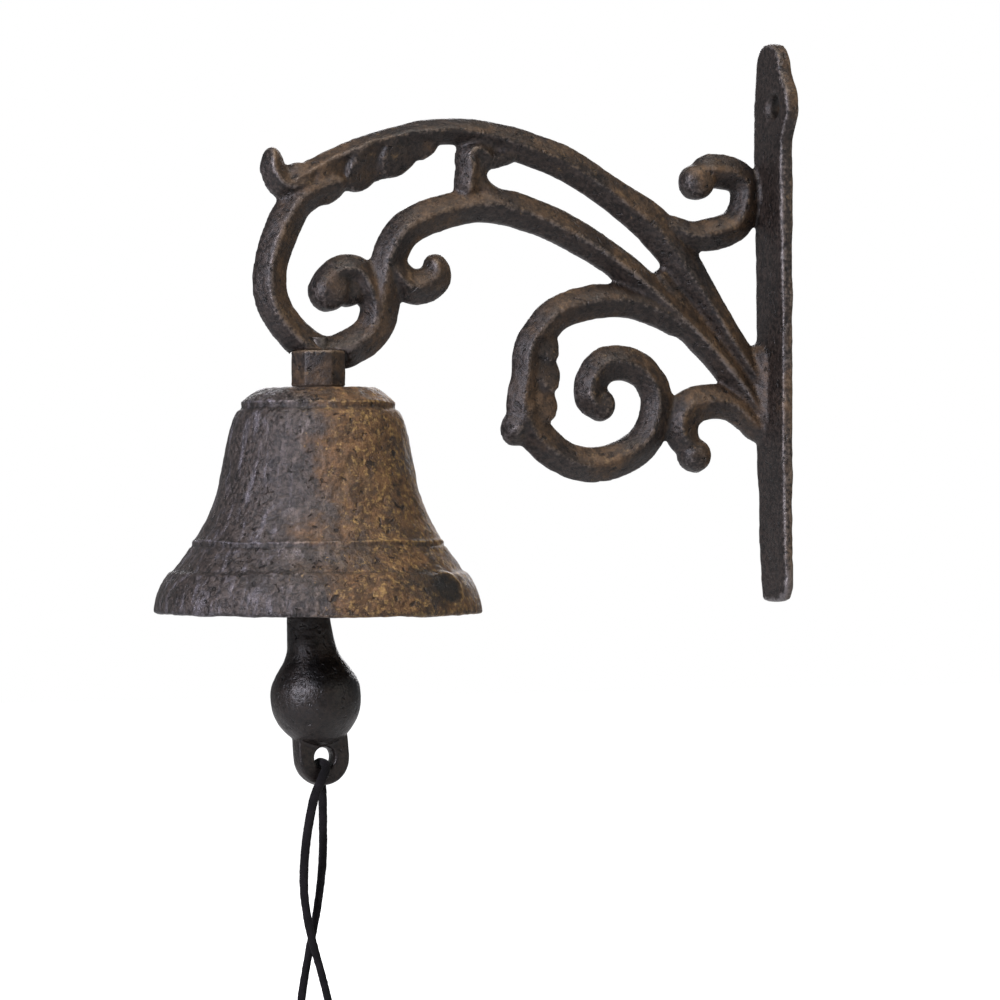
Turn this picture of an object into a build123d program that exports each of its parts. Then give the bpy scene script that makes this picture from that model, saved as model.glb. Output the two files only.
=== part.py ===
"""Wall bell: an iron bell hung under the end of a cast scroll arm, with a clapper and a pull cord.

Millimetres. X = 0 is the wall, the arm reaches out along -X, +Z is up and the arm's flat back looks
along +Y. The origin is the middle of the wall plate, on the wall.
"""

import os
from math import cos, radians, sin, tan

from build123d import *

os.makedirs("parts", exist_ok=True)

# Wall plate
plate_height = 155.0
plate_width = 17.4
plate_foot_width = 15.8
plate_thick_top = 4.5
plate_thick_middle = 3.7
plate_thick_foot = 2.6
plate_knob_radius = 7.5
ear_radius = 9.2
ear_drop = 17.8  # from the plate's top edge down to the screw hole
screw_hole_diameter = 6.0
screw_head_diameter = 8.8
screw_head_angle = 90.0
screw_hole_side = 3.5  # the hole stands off the plate's middle, towards the viewer
foot_corner_radius = 6.0

# Scroll arm, cast with a flat back
arm_reach = 135.2  # from the wall to the bell's axis
arm_depth = 7.9
outer_bar_width = 9.2
top_bar_width = 9.4
scroll_width = 9.0
upper_curl_width = 8.4
bar_edge_height = 2.6
bar_draft = 0.4
curl_width = 8.0
curl_depth = 7.2
crown_step = 0.3  # how much each lesser bar's crest lies below its neighbour's
small_curl_width = 7.4
leaf_tip_width = 6.4
ball_radius = 5.1
knob_radius = 4.2
tip_radius = 3.2
leaf_lobe_radius = 5.2
root_rib_width = 7.0
web_width = 6.0
web_depth = 4.5

# Hexagon nut, bolt and inner fasteners
seat_drop = 9.2  # from the plate's middle down to the arm's underside at the bell
hex_flats = 13.0
hex_height = 9.8
hex_turn = -20.0
seat_clearance = 0.4
seat_clear_depth = 8.6
bolt_diameter = 5.0
bolt_engagement = 3.6
bolt_end_gap = 0.2
thread_clearance = 0.02
nut_chamfer = 0.6
lock_nut_flats = 8.0
lock_nut_height = 4.0
washer_diameter = 14.0
washer_thickness = 1.2
washer_clearance = 0.25
bolt_neck = 1.6
eye_outer_radius = 4.4
eye_hole_diameter = 4.2
eye_thickness = 3.4

# Bell
bell_height = 60.3
bell_mouth_radius = 43.8
bell_crown_radius = 15.6
bell_shoulder_radius = 20.4
bell_waist_radius = 25.5
bell_flare_radius = 29.4
bell_skirt_radius = 35.2
waist_height = 38.3
flare_height = 25.2
skirt_height = 13.9
shoulder_drop = 5.0
shoulder_round = 9.0
line_proud = 0.35
line_shares = (0.0, 0.655, 0.765)
lip_round = 0.9
bell_wall = 3.6
crown_thickness = 5.0
lip_thickness = 3.0
crown_hole_clearance = 0.4

# Hook between bolt and clapper
hook_wire = 2.5
hook_drop = 12.0  # between the two straight runs that the eyes hang on
hook_run = 7.4
hook_tail = 3.2
hook_bend = 1.6
leg_bend = 1.9
pivot_gap = 0.1

# Clapper
clapper_eye_radius = 4.4
clapper_hole_diameter = 4.2
clapper_eye_thickness = 3.4
shank_top_diameter = 6.0
shank_foot_diameter = 11.4
shank_swell_diameter = 14.2
ball_diameter = 23.6
ball_drop = 22.2  # from the bell's mouth down to the ball's middle
ball_offset = 0.7  # the ball hangs a little outside the bell's axis
under_ball_diameter = 19.4
under_ball_drop = 7.0
neck_drop = 13.0
lug_width = 15.0
lug_thickness = 5.6
lug_hole_diameter = 5.2
lug_drop = 16.2  # from the ball's middle to the lug's hole
clapper_lean = 5.8  # the casting is bent, so that its foot leans towards the wall

# Pull cord
cord_diameter = 2.5
knot_diameter = 8.0
knot_end_diameter = 5.8
knot_height = 7.0
cord_hang = 140.0  # from the lug's hole to the top of the knot
cord_rest_gap = 0.1
fold_reach = 1.5  # how far the cord's middle stands off the lug's face where it folds
fold_fall_reach = 2.4
strand_side = 1.4  # each strand's middle beside the knot's axis
knot_approach = 0.924  # share of the hang after which both strands run straight down

# Places that follow from the sizes above
back_y = plate_width / 2
hex_corner_reach = hex_flats * (1 / cos(radians(30)) - 1) / 2
bell_y = back_y - arm_depth / 2
seat_z = -seat_drop
crown_z = seat_z - hex_height
mouth_z = crown_z - bell_height
hole_y = -screw_hole_side
hole_z = plate_height / 2 - ear_drop
bell_axis = Axis((-arm_reach, bell_y, 0), (0, 0, 1))


def corner_radii(points, share=0.45):
    """Largest smooth radius at each corner: a share of the shorter run over the tangent of half the turn."""
    radii = []
    for before, corner, after in zip(points, points[1:], points[2:]):
        run_in = Vector(corner) - Vector(before)
        run_out = Vector(after) - Vector(corner)
        turn = run_in.get_angle(run_out)
        radii.append(share * min(run_in.length, run_out.length) / tan(radians(turn) / 2))
    return radii


def bar(shares, width, depth):
    """Sweeps one flat-backed, crowned bar along a route given in shares of the arm's reach."""
    points = [(x * arm_reach, back_y, z * arm_reach) for x, z in shares]
    with BuildLine() as route:
        FilletPolyline(*points, radius=corner_radii(points))
    start = route.line @ 0
    heading = route.line % 0
    with BuildSketch(Plane(origin=start, x_dir=Vector(0, -1, 0).cross(heading), z_dir=heading)) as section:
        with BuildLine():
            Polyline(
                (-width / 2 + bar_draft, bar_edge_height),
                (-width / 2, 0),
                (width / 2, 0),
                (width / 2 - bar_draft, bar_edge_height),
            )
            ThreePointArc(
                (width / 2 - bar_draft, bar_edge_height),
                (0, depth),
                (-width / 2 + bar_draft, bar_edge_height),
            )
        make_face()
    sweep(section.sketch, path=route.line)


def dome(share_x, share_z, radius, proud):
    """A ball end with a flat back, standing proud of the arm's back plane."""
    shoulder = proud - radius
    place = Plane(origin=(share_x * arm_reach, back_y, share_z * arm_reach), x_dir=(1, 0, 0), z_dir=(0, 0, 1))
    with BuildSketch(place) as half_section:
        with BuildLine():
            Polyline((0, -proud), (0, 0), (radius + bar_draft, 0), (radius, -shoulder))
            ThreePointArc((radius, -shoulder), (radius * sin(1), -shoulder - radius * cos(1)), (0, -proud))
        make_face()
    revolve(half_section.sketch, axis=Axis(place.origin, (0, 1, 0)))


# Bracket: plate, scroll arm and curls in one casting
outer_bar = [
    (-0.007, -0.206), (-0.088, -0.095), (-0.204, 0.009), (-0.343, 0.123), (-0.494, 0.201),
    (-0.629, 0.237), (-0.751, 0.208), (-0.833, 0.163), (-0.855, 0.057), (-0.871, -0.027),
    (-0.945, -0.076), (-1.005, -0.072), (-1.080, -0.005), (-1.101, 0.074), (-1.070, 0.176),
    (-1.017, 0.255), (-0.935, 0.270),
]
top_bar = [
    (-1.045, 0.244), (-0.949, 0.297), (-0.873, 0.320), (-0.764, 0.372), (-0.673, 0.379),
    (-0.567, 0.354), (-0.463, 0.321), (-0.337, 0.250), (-0.247, 0.183), (-0.154, 0.065),
    (-0.074, -0.059), (-0.007, -0.143),
]
lower_scroll = [
    (-0.186, -0.015), (-0.234, 0.022), (-0.338, 0.046), (-0.423, 0.037), (-0.502, 0.007),
    (-0.524, -0.058), (-0.535, -0.147), (-0.522, -0.227), (-0.492, -0.267), (-0.411, -0.296),
    (-0.333, -0.279), (-0.272, -0.239), (-0.251, -0.165), (-0.272, -0.111), (-0.323, -0.080),
    (-0.371, -0.086), (-0.407, -0.122), (-0.405, -0.176),
]
upper_curl = [
    (-0.227, 0.198), (-0.175, 0.180), (-0.119, 0.183), (-0.068, 0.206), (-0.050, 0.258),
    (-0.067, 0.304), (-0.122, 0.317), (-0.159, 0.305),
]
arch_curl = [
    (-0.007, -0.216), (-0.066, -0.179), (-0.115, -0.156), (-0.181, -0.168), (-0.205, -0.198),
    (-0.193, -0.241), (-0.165, -0.260),
]
volute = [
    (-0.889, -0.041), (-0.869, 0.013), (-0.874, 0.074), (-0.916, 0.106), (-0.962, 0.098),
    (-0.975, 0.052),
]
small_curl = [(-0.876, 0.096), (-0.852, 0.056), (-0.801, 0.043), (-0.748, 0.060), (-0.738, 0.112)]
short_link = [(-0.678, 0.227), (-0.672, 0.279), (-0.662, 0.316), (-0.625, 0.335)]
leaf_tip = [(-1.030, 0.235), (-1.070, 0.248), (-1.083, 0.282), (-1.083, 0.320)]
web = [(-0.260, 0.105), (-0.201, 0.039), (-0.151, -0.015)]
root_rib = [(-0.024, -0.040), (-0.028, -0.130), (-0.024, -0.222)]
ball_ends = [
    (-0.378, -0.170, ball_radius),
    (-0.583, -0.232, knob_radius),
    (-0.558, -0.226, knob_radius),
    (-0.156, 0.300, ball_radius),
    (-0.172, -0.262, ball_radius),
    (-0.975, 0.045, ball_radius),
    (-0.748, 0.113, tip_radius),
    (-0.628, 0.330, tip_radius),
    (-1.082, 0.312, tip_radius),
    (-0.024, -0.222, tip_radius),
]
leaf_lobes = [
    (-0.978, 0.261), (-0.914, 0.287), (-0.839, 0.309), (-0.803, 0.328),
    (-0.514, -0.062), (-0.516, -0.116), (-0.521, -0.168),
]

with BuildPart() as bracket:
    with BuildSketch(Plane.YZ.offset(-plate_thick_top)):
        Polygon(
            (-plate_width / 2, -plate_height / 2),
            (plate_foot_width - plate_width / 2, -plate_height / 2),
            (plate_width / 2, hole_z - plate_height / 2),
            (plate_width / 2, hole_z),
            (plate_knob_radius, plate_height / 2 - plate_knob_radius),
            (0, plate_height / 2 - plate_knob_radius),
            (-plate_width / 2, hole_z),
            align=None,
        )
        with Locations((0, plate_height / 2 - plate_knob_radius)):
            Circle(plate_knob_radius)
        with Locations((hole_y, hole_z)):
            Circle(ear_radius)
    extrude(amount=plate_thick_top)
    with BuildSketch(Plane.XZ.offset(-plate_width)):
        Polygon(
            (-plate_thick_top, hole_z - ear_radius),
            (-plate_thick_middle, 0),
            (-plate_thick_middle, -plate_height / 4),
            (-plate_thick_foot, -plate_height / 2),
            (-2 * plate_thick_top, -plate_height / 2),
            (-2 * plate_thick_top, hole_z - ear_radius),
            align=None,
        )
    extrude(amount=2 * plate_width, mode=Mode.SUBTRACT)
    foot_corner = bracket.edges().filter_by(Axis.X).sort_by(Axis.Z)[:2].sort_by(Axis.Y)[0]
    fillet(foot_corner, foot_corner_radius)
    bar(outer_bar, outer_bar_width, arm_depth)
    bar(top_bar, top_bar_width, arm_depth - crown_step)
    bar(lower_scroll, scroll_width, arm_depth - 2 * crown_step)
    bar(upper_curl, upper_curl_width, curl_depth)
    bar(arch_curl, curl_width, curl_depth)
    bar(volute, curl_width, curl_depth)
    bar(small_curl, small_curl_width, curl_depth)
    bar(short_link, small_curl_width, curl_depth - crown_step)
    bar(leaf_tip, leaf_tip_width, curl_depth)
    bar(root_rib, root_rib_width, arm_depth + crown_step)
    bar(web, web_width, web_depth)
    for place_x, place_z, radius in ball_ends:
        dome(place_x, place_z, radius, curl_depth + crown_step)
    for place_x, place_z in leaf_lobes:
        dome(place_x, place_z, leaf_lobe_radius, curl_depth)
    with BuildSketch(Plane.YZ):
        Rectangle(2 * plate_width, plate_height)
    extrude(amount=plate_width, mode=Mode.SUBTRACT)
    with Locations(Plane(origin=(-plate_thick_top, hole_y, hole_z), z_dir=(-1, 0, 0))):
        CounterSinkHole(screw_hole_diameter / 2, screw_head_diameter / 2, counter_sink_angle=screw_head_angle)
    with BuildSketch(Plane(origin=(-arm_reach, bell_y, seat_z), z_dir=(0, 0, -1))):
        Circle(hex_flats / 2 + seat_clearance + hex_corner_reach)
    extrude(amount=seat_clear_depth, mode=Mode.SUBTRACT)
    with BuildSketch(Plane.XY.offset(seat_z)):
        with Locations((-arm_reach, bell_y)):
            Circle(bolt_diameter / 2 + thread_clearance)
    extrude(amount=bolt_engagement, mode=Mode.SUBTRACT)

bracket.part.label = "bracket"
export_step(bracket.part, "parts/bracket.step")

# Hexagon nut between the arm and the bell
with BuildPart() as hex_nut:
    with BuildSketch(Plane(origin=(-arm_reach, bell_y, crown_z))):
        RegularPolygon(hex_flats / 2, 6, major_radius=False, rotation=hex_turn)
        Circle(bolt_diameter / 2 + thread_clearance, mode=Mode.SUBTRACT)
    extrude(amount=hex_height)
    chamfer(hex_nut.edges().filter_by(GeomType.LINE).group_by(Axis.Z)[-1], nut_chamfer)
hex_nut.part.label = "hex_nut"
export_step(hex_nut.part, "parts/hex_nut.step")

# Bell
bell_place = Plane(origin=(-arm_reach, bell_y, mouth_z), x_dir=(1, 0, 0), z_dir=(0, -1, 0))
outline = [
    (bell_shoulder_radius, bell_height - shoulder_drop),
    (bell_waist_radius, waist_height),
    (bell_flare_radius, flare_height),
    (bell_skirt_radius, skirt_height),
    (bell_mouth_radius, lip_round),
]
with BuildPart() as bell:
    with BuildSketch(bell_place):
        with BuildLine():
            Line((0, bell_height), (bell_crown_radius, bell_height))
            RadiusArc((bell_crown_radius, bell_height), outline[0], shoulder_round)
            body = Spline(*outline)
            Polyline(
                outline[-1],
                (bell_mouth_radius - lip_round, 0),
                (bell_mouth_radius - lip_thickness, 0),
                (bell_mouth_radius - lip_thickness - lip_round, lip_round),
            )
            hollow = Spline(
                (bell_mouth_radius - lip_thickness - lip_round, lip_round),
                *[(radius - bell_wall, height) for radius, height in outline[-2:0:-1]],
                (bell_crown_radius, bell_height - crown_thickness),
            )
            Polyline(hollow @ 1, (0, bell_height - crown_thickness), (0, bell_height))
        make_face()
    revolve(axis=bell_axis)
    for share in line_shares:
        with BuildSketch(bell_place):
            with Locations(body @ share):
                Circle(line_proud)
        revolve(axis=bell_axis)
    with BuildSketch(Plane(origin=(-arm_reach, bell_y, crown_z), z_dir=(0, 0, -1))):
        Circle(bolt_diameter / 2 + crown_hole_clearance)
    extrude(amount=crown_thickness, mode=Mode.SUBTRACT)
bell.part.label = "bell"
export_step(bell.part, "parts/bell.step")

# Washer and lock nut that hold the crown from inside
washer_top = crown_z - crown_thickness
with BuildPart() as crown_washer:
    with BuildSketch(Plane(origin=(-arm_reach, bell_y, washer_top), z_dir=(0, 0, -1))):
        Circle(washer_diameter / 2)
        Circle(bolt_diameter / 2 + washer_clearance, mode=Mode.SUBTRACT)
    extrude(amount=washer_thickness)
crown_washer.part.label = "crown_washer"
export_step(crown_washer.part, "parts/crown_washer.step")

lock_nut_top = washer_top - washer_thickness
with BuildPart() as lock_nut:
    with BuildSketch(Plane(origin=(-arm_reach, bell_y, lock_nut_top), z_dir=(0, 0, -1))):
        RegularPolygon(lock_nut_flats / 2, 6, major_radius=False)
        Circle(bolt_diameter / 2 + thread_clearance, mode=Mode.SUBTRACT)
    extrude(amount=lock_nut_height)
lock_nut.part.label = "lock_nut"
export_step(lock_nut.part, "parts/lock_nut.step")

# Bolt with a flat pierced eye at its lower end
bolt_foot = lock_nut_top - lock_nut_height - bolt_neck
eye_z = bolt_foot - eye_outer_radius
with BuildPart() as eye_bolt:
    with BuildSketch(Plane(origin=(-arm_reach, bell_y, bolt_foot - bolt_diameter / 4))):
        Circle(bolt_diameter / 2)
    extrude(amount=seat_z + bolt_engagement - bolt_end_gap - bolt_foot + bolt_diameter / 4)
    with BuildSketch(Plane(origin=(-arm_reach, bell_y + eye_thickness / 2, eye_z), z_dir=(0, -1, 0))):
        Circle(eye_outer_radius)
    extrude(amount=eye_thickness)
    with BuildSketch(Plane(origin=(-arm_reach, bell_y + bolt_diameter, eye_z), z_dir=(0, -1, 0))):
        Circle(eye_hole_diameter / 2)
    extrude(amount=2 * bolt_diameter, mode=Mode.SUBTRACT)
eye_bolt.part.label = "eye_bolt"
export_step(eye_bolt.part, "parts/eye_bolt.step")

# Twisted wire hook: its upper run turns in the bolt's eye, its lower run carries the clapper
upper_pivot_z = eye_z - eye_hole_diameter / 2 + hook_wire / 2 + pivot_gap
lower_pivot_z = upper_pivot_z - hook_drop
half_run = hook_run / 2
hook_route = [
    (0, half_run, upper_pivot_z - hook_tail),
    (0, half_run, upper_pivot_z),
    (0, -half_run, upper_pivot_z),
    (0, -half_run, upper_pivot_z - hook_tail),
    (-half_run, 0, lower_pivot_z + hook_tail),
    (-half_run, 0, lower_pivot_z),
    (half_run, 0, lower_pivot_z),
    (half_run, 0, lower_pivot_z + hook_tail),
]
hook_points = [(x - arm_reach, y + bell_y, z) for x, y, z in hook_route]
with BuildPart() as hook:
    with BuildLine() as wire:
        FilletPolyline(*hook_points, radius=[hook_bend, hook_bend, leg_bend, leg_bend, hook_bend, hook_bend])
    with BuildSketch(Plane(origin=wire.line @ 0, z_dir=wire.line % 0)):
        Circle(hook_wire / 2)
    sweep(path=wire.line)
hook.part.label = "hook"
export_step(hook.part, "parts/hook.step")

# Clapper: top eye, shank, ball and lower lug in one casting
clapper_eye_z = lower_pivot_z - clapper_hole_diameter / 2 + hook_wire / 2 + pivot_gap
ball_centre = Vector(-arm_reach - ball_offset, bell_y, mouth_z - ball_drop)
lean = Vector(sin(radians(clapper_lean)), 0, -cos(radians(clapper_lean)))
lower_frame = Plane(origin=ball_centre, x_dir=-lean.cross(Vector(0, -1, 0)), z_dir=(0, -1, 0))
shank_foot = ball_centre - lean * ball_drop
shank_head = Vector(-arm_reach, bell_y, clapper_eye_z - clapper_eye_radius / 2)
shank_rise = shank_head - shank_foot
lug_hole_at = ball_centre + lean * lug_drop
with BuildPart() as clapper:
    with BuildSketch(lower_frame):
        with BuildLine():
            Polyline((0, ball_drop), (shank_foot_diameter / 2, ball_drop))
            Spline(
                (shank_foot_diameter / 2, ball_drop),
                (shank_swell_diameter / 2, ball_drop / 2),
                (ball_diameter / 2, 0),
                (under_ball_diameter / 2, -under_ball_drop),
                (lug_width / 2, -neck_drop),
            )
            Polyline((lug_width / 2, -neck_drop), (0, -neck_drop), (0, ball_drop))
        make_face()
    revolve(axis=Axis(ball_centre, lean))
    with Locations(shank_foot):
        Sphere(shank_foot_diameter / 2)
    with BuildSketch(Plane(origin=shank_foot, z_dir=shank_rise)):
        Circle(shank_foot_diameter / 2)
    with BuildSketch(Plane(origin=shank_head, z_dir=shank_rise)):
        Circle(shank_top_diameter / 2)
    loft()
    with BuildSketch(Plane(origin=(-arm_reach - clapper_eye_thickness / 2, bell_y, clapper_eye_z), z_dir=(1, 0, 0))):
        Circle(clapper_eye_radius)
    extrude(amount=clapper_eye_thickness)
    with BuildSketch(Plane(origin=(-arm_reach - shank_top_diameter, bell_y, clapper_eye_z), z_dir=(1, 0, 0))):
        Circle(clapper_hole_diameter / 2)
    extrude(amount=2 * shank_top_diameter, mode=Mode.SUBTRACT)
    with BuildSketch(lower_frame.offset(-lug_thickness / 2)):
        with Locations((0, -lug_drop)):
            Circle(lug_width / 2)
        with Locations((0, -lug_drop / 2)):
            Rectangle(lug_width, lug_drop)
    extrude(amount=lug_thickness)
    with BuildSketch(lower_frame.offset(-lug_thickness)):
        with Locations((0, -lug_drop)):
            Circle(lug_hole_diameter / 2)
    extrude(amount=2 * lug_thickness, mode=Mode.SUBTRACT)
clapper.part.label = "clapper"
export_step(clapper.part, "parts/clapper.step")



def strand(side, route):
    """One half of the pull cord: a plain tube along straight runs joined by tangent arcs.

    side is -1 for the half towards the viewer and 1 for the other; each point of the route is its
    distance in X and Y from the cord's seat in the lug and its share of the way down to the knot.
    """
    knot_side = -arm_reach - side * strand_side - cord_seat.X
    fold = [(0, 0, 0), (0, side * (lug_thickness / 2 + fold_reach), 0)]
    points = [
        (cord_seat.X + x, cord_seat.Y + y, cord_seat.Z - share * (cord_seat.Z - knot_top))
        for x, y, share in fold + route + [(knot_side, 0, knot_approach), (knot_side, 0, 1)]
    ]
    radii = corner_radii(points)
    print("strand corner radii", [round(radius, 1) for radius in radii])
    with BuildLine() as line:
        FilletPolyline(*points, radius=radii)
    with BuildSketch(Plane(origin=line.line @ 0, z_dir=line.line % 0)) as section:
        Circle(cord_diameter / 2)
    sweep(section.sketch, path=line.line)
    print("strand length", round(sum(edge.length for edge in line.line.edges()), 1))
    print("strand points", [tuple(round(value, 2) for value in point) for point in points])


# Pull cord, in two halves that meet inside the lug's hole, and the knot that joins their ends
cord_seat = lug_hole_at + lean * (lug_hole_diameter / 2 - cord_diameter / 2 - cord_rest_gap)
knot_top = lug_hole_at.Z - cord_hang
front_route = [
    (-1.7, -lug_thickness / 2 - fold_fall_reach, 0.028), (-3.8, -4.45, 0.059), (-5.0, -3.45, 0.113),
    (-5.8, -2.05, 0.178), (-5.8, -1.55, 0.253), (-4.1, -1.75, 0.325), (-0.8, -1.65, 0.402),
    (2.4, -0.95, 0.484), (3.7, -0.35, 0.592), (2.9, 0.05, 0.722), (1.9, -0.05, 0.844),
]
rear_route = [
    (1.7, lug_thickness / 2 + fold_fall_reach, 0.028), (1.9, 4.65, 0.063), (1.7, 3.55, 0.127),
    (1.1, 2.35, 0.199), (-0.6, 1.65, 0.282), (-3.1, 1.45, 0.361), (-5.4, 1.35, 0.451),
    (-6.8, 1.05, 0.563), (-6.3, 0.45, 0.700), (-4.4, 0.25, 0.837),
]
with BuildPart() as front_strand:
    strand(-1, front_route)
front_strand.part.label = "front_strand"
export_step(front_strand.part, "parts/front_strand.step")

with BuildPart() as rear_strand:
    strand(1, rear_route)
rear_strand.part.label = "rear_strand"
export_step(rear_strand.part, "parts/rear_strand.step")

with BuildPart() as end_knot:
    with BuildSketch(Plane(origin=(-arm_reach, bell_y, knot_top), x_dir=(1, 0, 0), z_dir=(0, -1, 0))):
        with BuildLine():
            Line((0, 0), (knot_end_diameter / 2, 0))
            ThreePointArc(
                (knot_end_diameter / 2, 0),
                (knot_diameter / 2, -knot_height / 2),
                (knot_end_diameter / 2, -knot_height),
            )
            Polyline((knot_end_diameter / 2, -knot_height), (0, -knot_height), (0, 0))
        make_face()
    revolve(axis=bell_axis)
end_knot.part.label = "end_knot"
export_step(end_knot.part, "parts/end_knot.step")
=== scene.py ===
"""Looks of the wall bell: scroll bracket, bell, clapper and pull cord in worn cast iron and black cord.

Metres, in the frame of the CAD model: X = 0 is the wall, the arm reaches out along -X, +Z is up and the
arm's flat back looks along +Y. Sizes below are in millimetres where a name ends in _mm.
"""

import math

import bmesh
import bpy
import numpy as np
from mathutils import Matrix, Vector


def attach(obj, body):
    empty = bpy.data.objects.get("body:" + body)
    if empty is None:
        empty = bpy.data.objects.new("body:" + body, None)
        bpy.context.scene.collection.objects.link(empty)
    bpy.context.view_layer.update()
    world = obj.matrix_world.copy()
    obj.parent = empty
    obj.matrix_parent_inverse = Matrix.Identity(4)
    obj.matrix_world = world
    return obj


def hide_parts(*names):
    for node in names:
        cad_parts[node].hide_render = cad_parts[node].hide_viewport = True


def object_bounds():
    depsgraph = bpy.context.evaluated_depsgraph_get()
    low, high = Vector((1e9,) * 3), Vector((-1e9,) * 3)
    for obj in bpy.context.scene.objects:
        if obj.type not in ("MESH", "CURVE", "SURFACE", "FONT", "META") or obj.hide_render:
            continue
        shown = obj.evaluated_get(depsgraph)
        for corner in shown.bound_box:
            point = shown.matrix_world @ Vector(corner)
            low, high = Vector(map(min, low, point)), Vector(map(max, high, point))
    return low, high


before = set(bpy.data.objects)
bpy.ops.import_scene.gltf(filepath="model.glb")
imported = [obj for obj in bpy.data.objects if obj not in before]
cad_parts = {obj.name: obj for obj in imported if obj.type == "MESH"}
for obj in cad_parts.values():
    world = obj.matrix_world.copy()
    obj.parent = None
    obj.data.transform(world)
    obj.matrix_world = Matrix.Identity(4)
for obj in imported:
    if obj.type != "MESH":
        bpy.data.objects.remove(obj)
cad_low, cad_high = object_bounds()

MM = 0.001
arm_reach = 135.2
back_y = 8.7
bell_axis_x = -arm_reach
bell_axis_y = 4.75
seat_z = -9.2
crown_z = -19.0
mouth_z = -79.3
hole_y = -3.5
hole_z = 59.7
plate_half_height = 77.5
right_x, right_y = 0.92, -0.39  # the camera's right


# Numpy surfaces


def cell_values(cells, seed):
    """One value from -1 to 1 for each whole-number cell, from an integer hash of its three indices."""
    key = cells[..., 0] * 73856093 ^ cells[..., 1] * 19349663 ^ cells[..., 2] * 83492791 ^ seed * 2654435761
    key = key & 0xFFFFFFFF
    key = ((key ^ (key >> 13)) * 1274126177) & 0xFFFFFFFF
    key = ((key ^ (key >> 16)) * 374761393) & 0xFFFFFFFF
    return (key ^ (key >> 15)) / 0xFFFFFFFF * 2.0 - 1.0


def lumps(points, size, seed):
    """Smooth noise from -1 to 1: values at the corners of cubes of this size, blended by 3t^2 - 2t^3."""
    scaled = points / size
    corner = np.floor(scaled).astype(np.int64)
    part = scaled - corner
    part = part * part * (3.0 - 2.0 * part)
    total = np.zeros(points.shape[:-1])
    for dx in (0, 1):
        for dy in (0, 1):
            for dz in (0, 1):
                weight = (
                    (part[..., 0] if dx else 1.0 - part[..., 0])
                    * (part[..., 1] if dy else 1.0 - part[..., 1])
                    * (part[..., 2] if dz else 1.0 - part[..., 2])
                )
                total += weight * cell_values(corner + np.array((dx, dy, dz)), seed)
    return total


def full_turn(count):
    """Evenly spaced angles once round."""
    return np.linspace(0.0, 2 * np.pi, count, endpoint=False)


def smooth_route(points, spacing):
    """Quadratic B-spline: its pieces run from each run's middle to the next, steered by the corner between
    them, so it touches every straight run at its middle. Returns points at about the given spacing."""
    points = np.asarray(points, float)
    middles = 0.5 * (points[1:] + points[:-1])
    knots = np.vstack((points[:1], middles[1:-1], points[-1:]))
    corners = points[1:-1]
    steps = np.linspace(0.0, 1.0, 60)[:, None]
    pieces = [
        (1 - steps) ** 2 * knots[i] + 2 * steps * (1 - steps) * corners[i] + steps**2 * knots[i + 1]
        for i in range(len(corners))
    ]
    dense = np.vstack(pieces)
    keep = np.append(True, np.linalg.norm(np.diff(dense, axis=0), axis=1) > 1e-9)
    dense = dense[keep]
    along = distances(dense)
    return resampled(dense, along, np.linspace(0.0, along[-1], max(8, int(along[-1] / spacing))))


def grid_faces(rows, columns, wrap_rows=False, wrap_columns=True, offset=0):
    """Quads between neighbouring rows and columns of a grid, with either way round closed on request."""
    row_starts = np.arange(rows if wrap_rows else rows - 1)
    column_starts = np.arange(columns if wrap_columns else columns - 1)
    r, c = np.meshgrid(row_starts, column_starts, indexing="ij")
    r2 = (r + 1) % rows
    c2 = (c + 1) % columns
    quads = np.stack((r * columns + c, r * columns + c2, r2 * columns + c2, r2 * columns + c), axis=-1)
    return quads.reshape(-1, 4) + offset


class Shell:
    """Collects closed surfaces, in millimetres, into one mesh."""

    def __init__(self):
        self.points = []
        self.quads = []
        self.fans = []
        self.size = 0

    def add(self, grid, wrap_rows=False):
        """Adds a grid that closes along its columns; where it doesn't close along its rows too, its ends get
        flat caps."""
        rows, columns = grid.shape[:2]
        self.points.append(grid.reshape(-1, 3))
        self.quads.append(grid_faces(rows, columns, wrap_rows, offset=self.size))
        if not wrap_rows:
            self.fans.append((self.size + np.arange(columns))[::-1].tolist())
            self.fans.append((self.size + (rows - 1) * columns + np.arange(columns)).tolist())
        self.size += rows * columns

    def mesh(self, name):
        """The collected surfaces as one mesh in metres."""
        return new_mesh(name, np.concatenate(self.points), np.concatenate(self.quads).tolist() + self.fans)


def outward(data):
    """Turns every face of a mesh outwards, shell by shell."""
    work = bmesh.new()
    work.from_mesh(data)
    bmesh.ops.recalc_face_normals(work, faces=work.faces[:])
    work.to_mesh(data)
    work.free()
    data.update()


def add_object(name, data):
    """Puts a mesh into the scene at the origin, shaded smooth."""
    piece = bpy.data.objects.new(name, data)
    bpy.context.scene.collection.objects.link(piece)
    data.polygons.foreach_set("use_smooth", np.ones(len(data.polygons), bool))
    return piece


def single_piece(name, grid, wrap_rows=False):
    """One grid as an object of its own, turned outwards."""
    shell = Shell()
    shell.add(grid, wrap_rows)
    data = shell.mesh(name)
    outward(data)
    return add_object(name, data)


def new_mesh(name, points, faces):
    """A mesh of points given in millimetres."""
    data = bpy.data.meshes.new(name)
    data.from_pydata((points * MM).tolist(), [], faces)
    data.update()
    return data


def faces_of(data, offset=0):
    """A mesh's faces, their vertex numbers raised by an offset."""
    return [[v + offset for v in face.vertices] for face in data.polygons]


def on_bell_axis(radius, around, height):
    """Points at these radii and angles about the bell's axis and at these heights."""
    return np.stack((
        bell_axis_x + radius * np.cos(around)[None, :],
        bell_axis_y + radius * np.sin(around)[None, :],
        height,
    ), axis=-1)


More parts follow.
